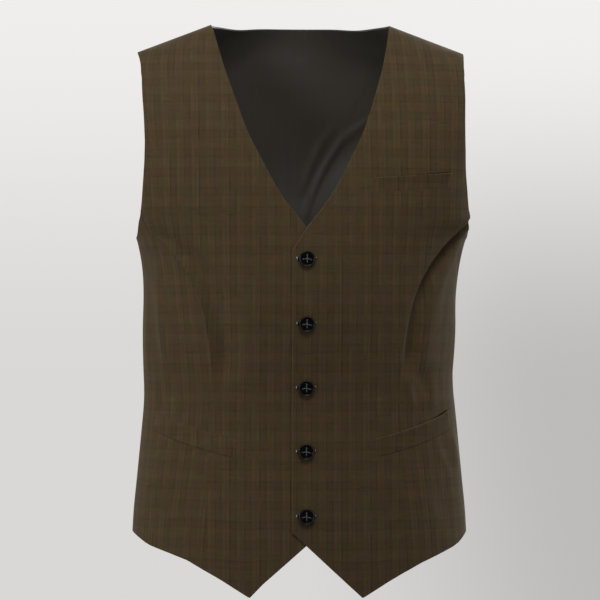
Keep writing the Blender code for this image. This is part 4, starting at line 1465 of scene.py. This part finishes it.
def twill(tree, u, v, across_pitch, up_pitch):
    """The diagonal ribs of a twill, between 0 and 1."""
    turns_across = math_of(tree, "DIVIDE", u, across_pitch)
    turns = math_of(tree, "ADD", turns_across, math_of(tree, "DIVIDE", v, up_pitch))
    wave = math_of(tree, "SINE", product(tree, turns, 2.0 * math.pi))
    return math_of(tree, "MULTIPLY_ADD", wave, 0.5, 0.5)


def weave_places(tree):
    """The weave's own vector, and its way across and way up in metres."""
    vector = node(tree, "UVMap", uv_map="weave").outputs[0]
    split = node(tree, "SeparateXYZ", (vector,))
    return vector, split.outputs[0], split.outputs[1]


def strayed(tree, way, grain):
    """A way over the cloth that wanders a little, as its threads do."""
    return math_of(tree, "ADD", way, math_of(tree, "MULTIPLY_ADD", grain, STRAY, -STRAY / 2.0))


def check_tone(tree, u, v, grains):
    """How light the wool is at each place, 1 on the whole: its two sets of lines and its slubs."""
    warp_way = strayed(tree, u, grains["stray_across"])
    weft_way = math_of(tree, "SUBTRACT", WEFT_PHASE, strayed(tree, v, grains["stray_up"]))
    warp = stripes(tree, warp_way, WARP_PITCH, WARP_PROFILE, WARP_FIRST_LINE)
    weft = stripes(tree, weft_way, WEFT_PITCH, WEFT_PROFILE, WEFT_FIRST_LINE)
    warp_slub = ramp(tree, grains["warp_slub"], *WARP_SLUB)
    weft_slub = ramp(tree, grains["weft_slub"], *WEFT_SLUB)
    warp_strength = product(tree, warp_slub, every_other(tree, warp_way, WARP_PITCH))
    weft_strength = product(tree, weft_slub, every_other(tree, weft_way, WEFT_PITCH))
    tone = math_of(tree, "MULTIPLY_ADD", product(tree, warp, warp_strength), WARP_TONE, 1.0)
    tone = math_of(tree, "MULTIPLY_ADD", product(tree, weft, weft_strength), WEFT_TONE, tone)
    for name, weight in DASHES.items():
        dash = ramp(tree, grains[name], *DASH_RANGE)
        tone = math_of(tree, "MULTIPLY_ADD", dash, weight, tone)
    return math_of(tree, "MULTIPLY_ADD", grains["fine"], -FINE_SHADE, tone)


def make_wool():
    material, tree, shader = new_material("wool_check", WOOL_COLOR, 0.9)
    vector, u, v = weave_places(tree)
    grains = {name: noise(tree, vector, *row) for name, row in WOOL_GRAINS.items()}
    tone = check_tone(tree, u, v, grains)
    cloudy = noise(tree, vector, *WOOL_CLOUDS, detail=1.0, output="Color")
    tint_spread = [share * part for share, part in zip(WOOL_TINT, WOOL_COLOR)]
    tint_least = [part * (1.0 - share / 2.0) for share, part in zip(WOOL_TINT, WOOL_COLOR)]
    tinted = vector_of(tree, "MULTIPLY_ADD", cloudy, tint_spread, tint_least)
    feed(tree, shader.inputs["Base Color"], vector_of(tree, "SCALE", tinted, None, None, tone))
    roughen(tree, shader, grains["fine"], *WOOL_ROUGHNESS)
    set_shader(shader, WOOL_FINISH)
    height = math_of(tree, "MULTIPLY_ADD", twill(tree, u, v, *WOOL_RIBS), 0.5, grains["fine"])
    add_bump(tree, shader, height, *WOOL_BUMP)
    return material


def make_satin(name, color, roughness):
    """A smooth dark satin, with fine ribs and soft streaks along its warp."""
    material, tree, shader = new_material(name, color, roughness)
    vector, u, v = weave_places(tree)
    streaks = noise(tree, vector, *SATIN_STREAKS)
    cloudy = noise(tree, vector, *SATIN_CLOUDS)
    streaked = math_of(tree, "ADD", streaks, product(tree, cloudy, 0.5))
    shade(tree, shader, color, streaked, SATIN_STREAK_SHADE)
    smoothest, roughest = roughness - SATIN_SMOOTHER, roughness + SATIN_ROUGHER
    roughen(tree, shader, streaks, smoothest, roughest, low=0.25, high=0.75)
    set_shader(shader, SATIN_FINISH)
    ribs = twill(tree, u, v, *SATIN_RIBS)
    height = math_of(tree, "MULTIPLY_ADD", ribs, 0.4, product(tree, cloudy, 2.0))
    add_bump(tree, shader, height, *SATIN_BUMP)
    return material


def object_noise(tree, scale):
    coordinates = node(tree, "TexCoord").outputs["Object"]
    return node(tree, "TexNoise", {"Vector": coordinates, "Scale": scale, "Detail": 2.0}).outputs[0]


def make_gloss(name, color, gloss):
    """Polished black, with a fine grain in its gloss."""
    material, tree, shader = new_material(name, color, 0.2)
    roughen(tree, shader, object_noise(tree, GLOSS_GRAIN), *GLOSS_ROUGHNESS)
    set_shader(shader, {"Specular IOR Level": gloss})
    add_bump(tree, shader, object_noise(tree, GLOSS_WAVES), *GLOSS_BUMP)
    return material


def make_thread_material(name, color, roughness):
    material, tree, shader = new_material(name, color, roughness)
    set_shader(shader, {"Specular IOR Level": 0.1})
    grain = object_noise(tree, THREAD_GRAIN)
    shade(tree, shader, color, grain, THREAD_SHADE)
    add_bump(tree, shader, grain, *THREAD_BUMP)
    return material


def make_shadow_cloth(name, color):
    """Painted shade: a dark finish for the mouth of a pocket or a buttonhole, where little light
    comes.
    """
    material, tree, shader = new_material(name, color, 0.9)
    set_shader(shader, {"Specular IOR Level": 0.0})
    roughen(tree, shader, object_noise(tree, SHADOW_GRAIN), 0.85, 1.0)
    return material


# Studio.

def add_to_scene(name, data):
    made = bpy.data.objects.new(name, data)
    bpy.context.scene.collection.objects.link(made)
    return made


def aim(obj, place, target):
    obj.location = place
    obj.rotation_mode = "QUATERNION"
    obj.rotation_quaternion = (Vector(target) - Vector(place)).to_track_quat("-Z", "Y")


def add_camera():
    data = bpy.data.cameras.new("camera")
    data.sensor_width = SENSOR_WIDTH
    data.lens = CAMERA_FOCUS_PIXELS / PHOTO_PIXELS * SENSOR_WIDTH
    camera = add_to_scene("camera", data)
    angle = math.radians(CAMERA_AZIMUTH)
    place = (CAMERA_DISTANCE * math.sin(angle), -CAMERA_DISTANCE * math.cos(angle), CAMERA_HEIGHT)
    aim(camera, place, (0.0, 0.0, CAMERA_HEIGHT))
    bpy.context.scene.camera = camera


def add_light(name, place, size, watts):
    data = bpy.data.lights.new(name, "AREA")
    data.shape = "RECTANGLE"
    data.size, data.size_y = size
    data.energy = watts
    aim(add_to_scene(name, data), place, LIGHT_TARGET)


def add_world():
    world = bpy.data.worlds.new("studio")
    world.use_nodes = True
    background = world.node_tree.nodes["Background"]
    background.inputs["Color"].default_value = (1.0, 1.0, 1.0, 1.0)
    background.inputs["Strength"].default_value = WORLD_STRENGTH
    bpy.context.scene.world = world


def dish_profile():
    """Radius and height of the studio, from the edge of its flat floor out and up its wall."""
    profile = []
    for step in range(FILLET_STEPS + 1):
        angle = math.pi / 2.0 * step / FILLET_STEPS
        radius = WALL_RADIUS - FILLET + FILLET * math.sin(angle)
        profile.append((radius, FLOOR_Z + FILLET * (1.0 - math.cos(angle))))
    return profile + [(WALL_RADIUS, WALL_TOP)]


def add_studio():
    bm = bmesh.new()
    rings = []
    for radius, height in dish_profile():
        rings.append([bm.verts.new((radius * cosine, radius * sine, height))
                      for cosine, sine in round_places(DISH_SIDES)])
    bm.faces.new(rings[0])
    join_rings(bm, rings)
    material, tree, _ = new_material("studio_paper", (0.8, 0.8, 0.8), 1.0)
    paint_studio(tree)
    piece = piece_from(bm, "studio", [material])
    piece.visible_diffuse = False
    piece.visible_glossy = False
    piece.visible_shadow = False
    piece.visible_transmission = False


def paint_studio(tree):
    """The paper glows as painted light, brighter towards its top, with painted shade low on the right.
    """
    coordinates = node(tree, "TexCoord").outputs["Object"]
    split = node(tree, "SeparateXYZ", (coordinates,))
    glow = ramp(tree, split.outputs[2], *PAPER_GLOW_UP)
    shade_up = ramp(tree, split.outputs[2], *PAPER_SHADE_UP)
    shade_across = ramp(tree, split.outputs[0], *PAPER_SHADE_ACROSS)
    strength = math_of(tree, "SUBTRACT", glow, product(tree, shade_up, shade_across))
    emission = node(tree, "Emission", {"Color": (*PAPER_COLOR, 1.0), "Strength": strength})
    feed(tree, tree.nodes["Material Output"].inputs["Surface"], emission.outputs[0])


def make_finishes():
    """Every material, by its name."""
    made = {"wool_check": make_wool()}
    for make, finishes in ((make_satin, SATINS), (make_gloss, GLOSSES),
                           (make_thread_material, THREADS), (make_shadow_cloth, SHADOW_CLOTHS)):
        for row in finishes:
            made[row[0]] = make(*row)
    return made


def main():
    bpy.context.scene.view_settings.view_transform = "Standard"
    finish = make_finishes()
    wool, lining, back = finish["wool_check"], finish["lining_satin"], finish["back_satin"]
    for side in (LEFT, RIGHT):
        make_front(side, [wool, lining, wool])
        make_side(side, [wool, lining])
        make_back(side, [back, back])
    make_welt("lower_welt_left", LEFT, LEFT_WELT, [wool])
    make_welt("lower_welt_right", RIGHT, RIGHT_WELT, [wool])
    make_back_lining([lining, lining])
    make_welt("chest_welt", LEFT, CHEST_WELT, [wool])
    make_mouth("chest_welt", LEFT, CHEST_WELT, [finish["mouth_painted_shade"]])
    make_mouth("lower_welt_left", LEFT, LEFT_WELT, [finish["mouth_painted_shade"]])
    for k in range(BUTTON_COUNT):
        make_button(k, [finish["button_black"], finish["button_rim_painted_highlight"]])
        make_thread(k, [finish["button_thread"]])
        make_buttonhole(k, [finish["hole_thread"]])
        make_slit(k, [finish["slit_painted_shade"]])
        make_tack(k, [finish["tack_thread_painted_glint"]])
    add_world()
    for row in LIGHTS:
        add_light(*row)
    add_studio()
    add_camera()


main()
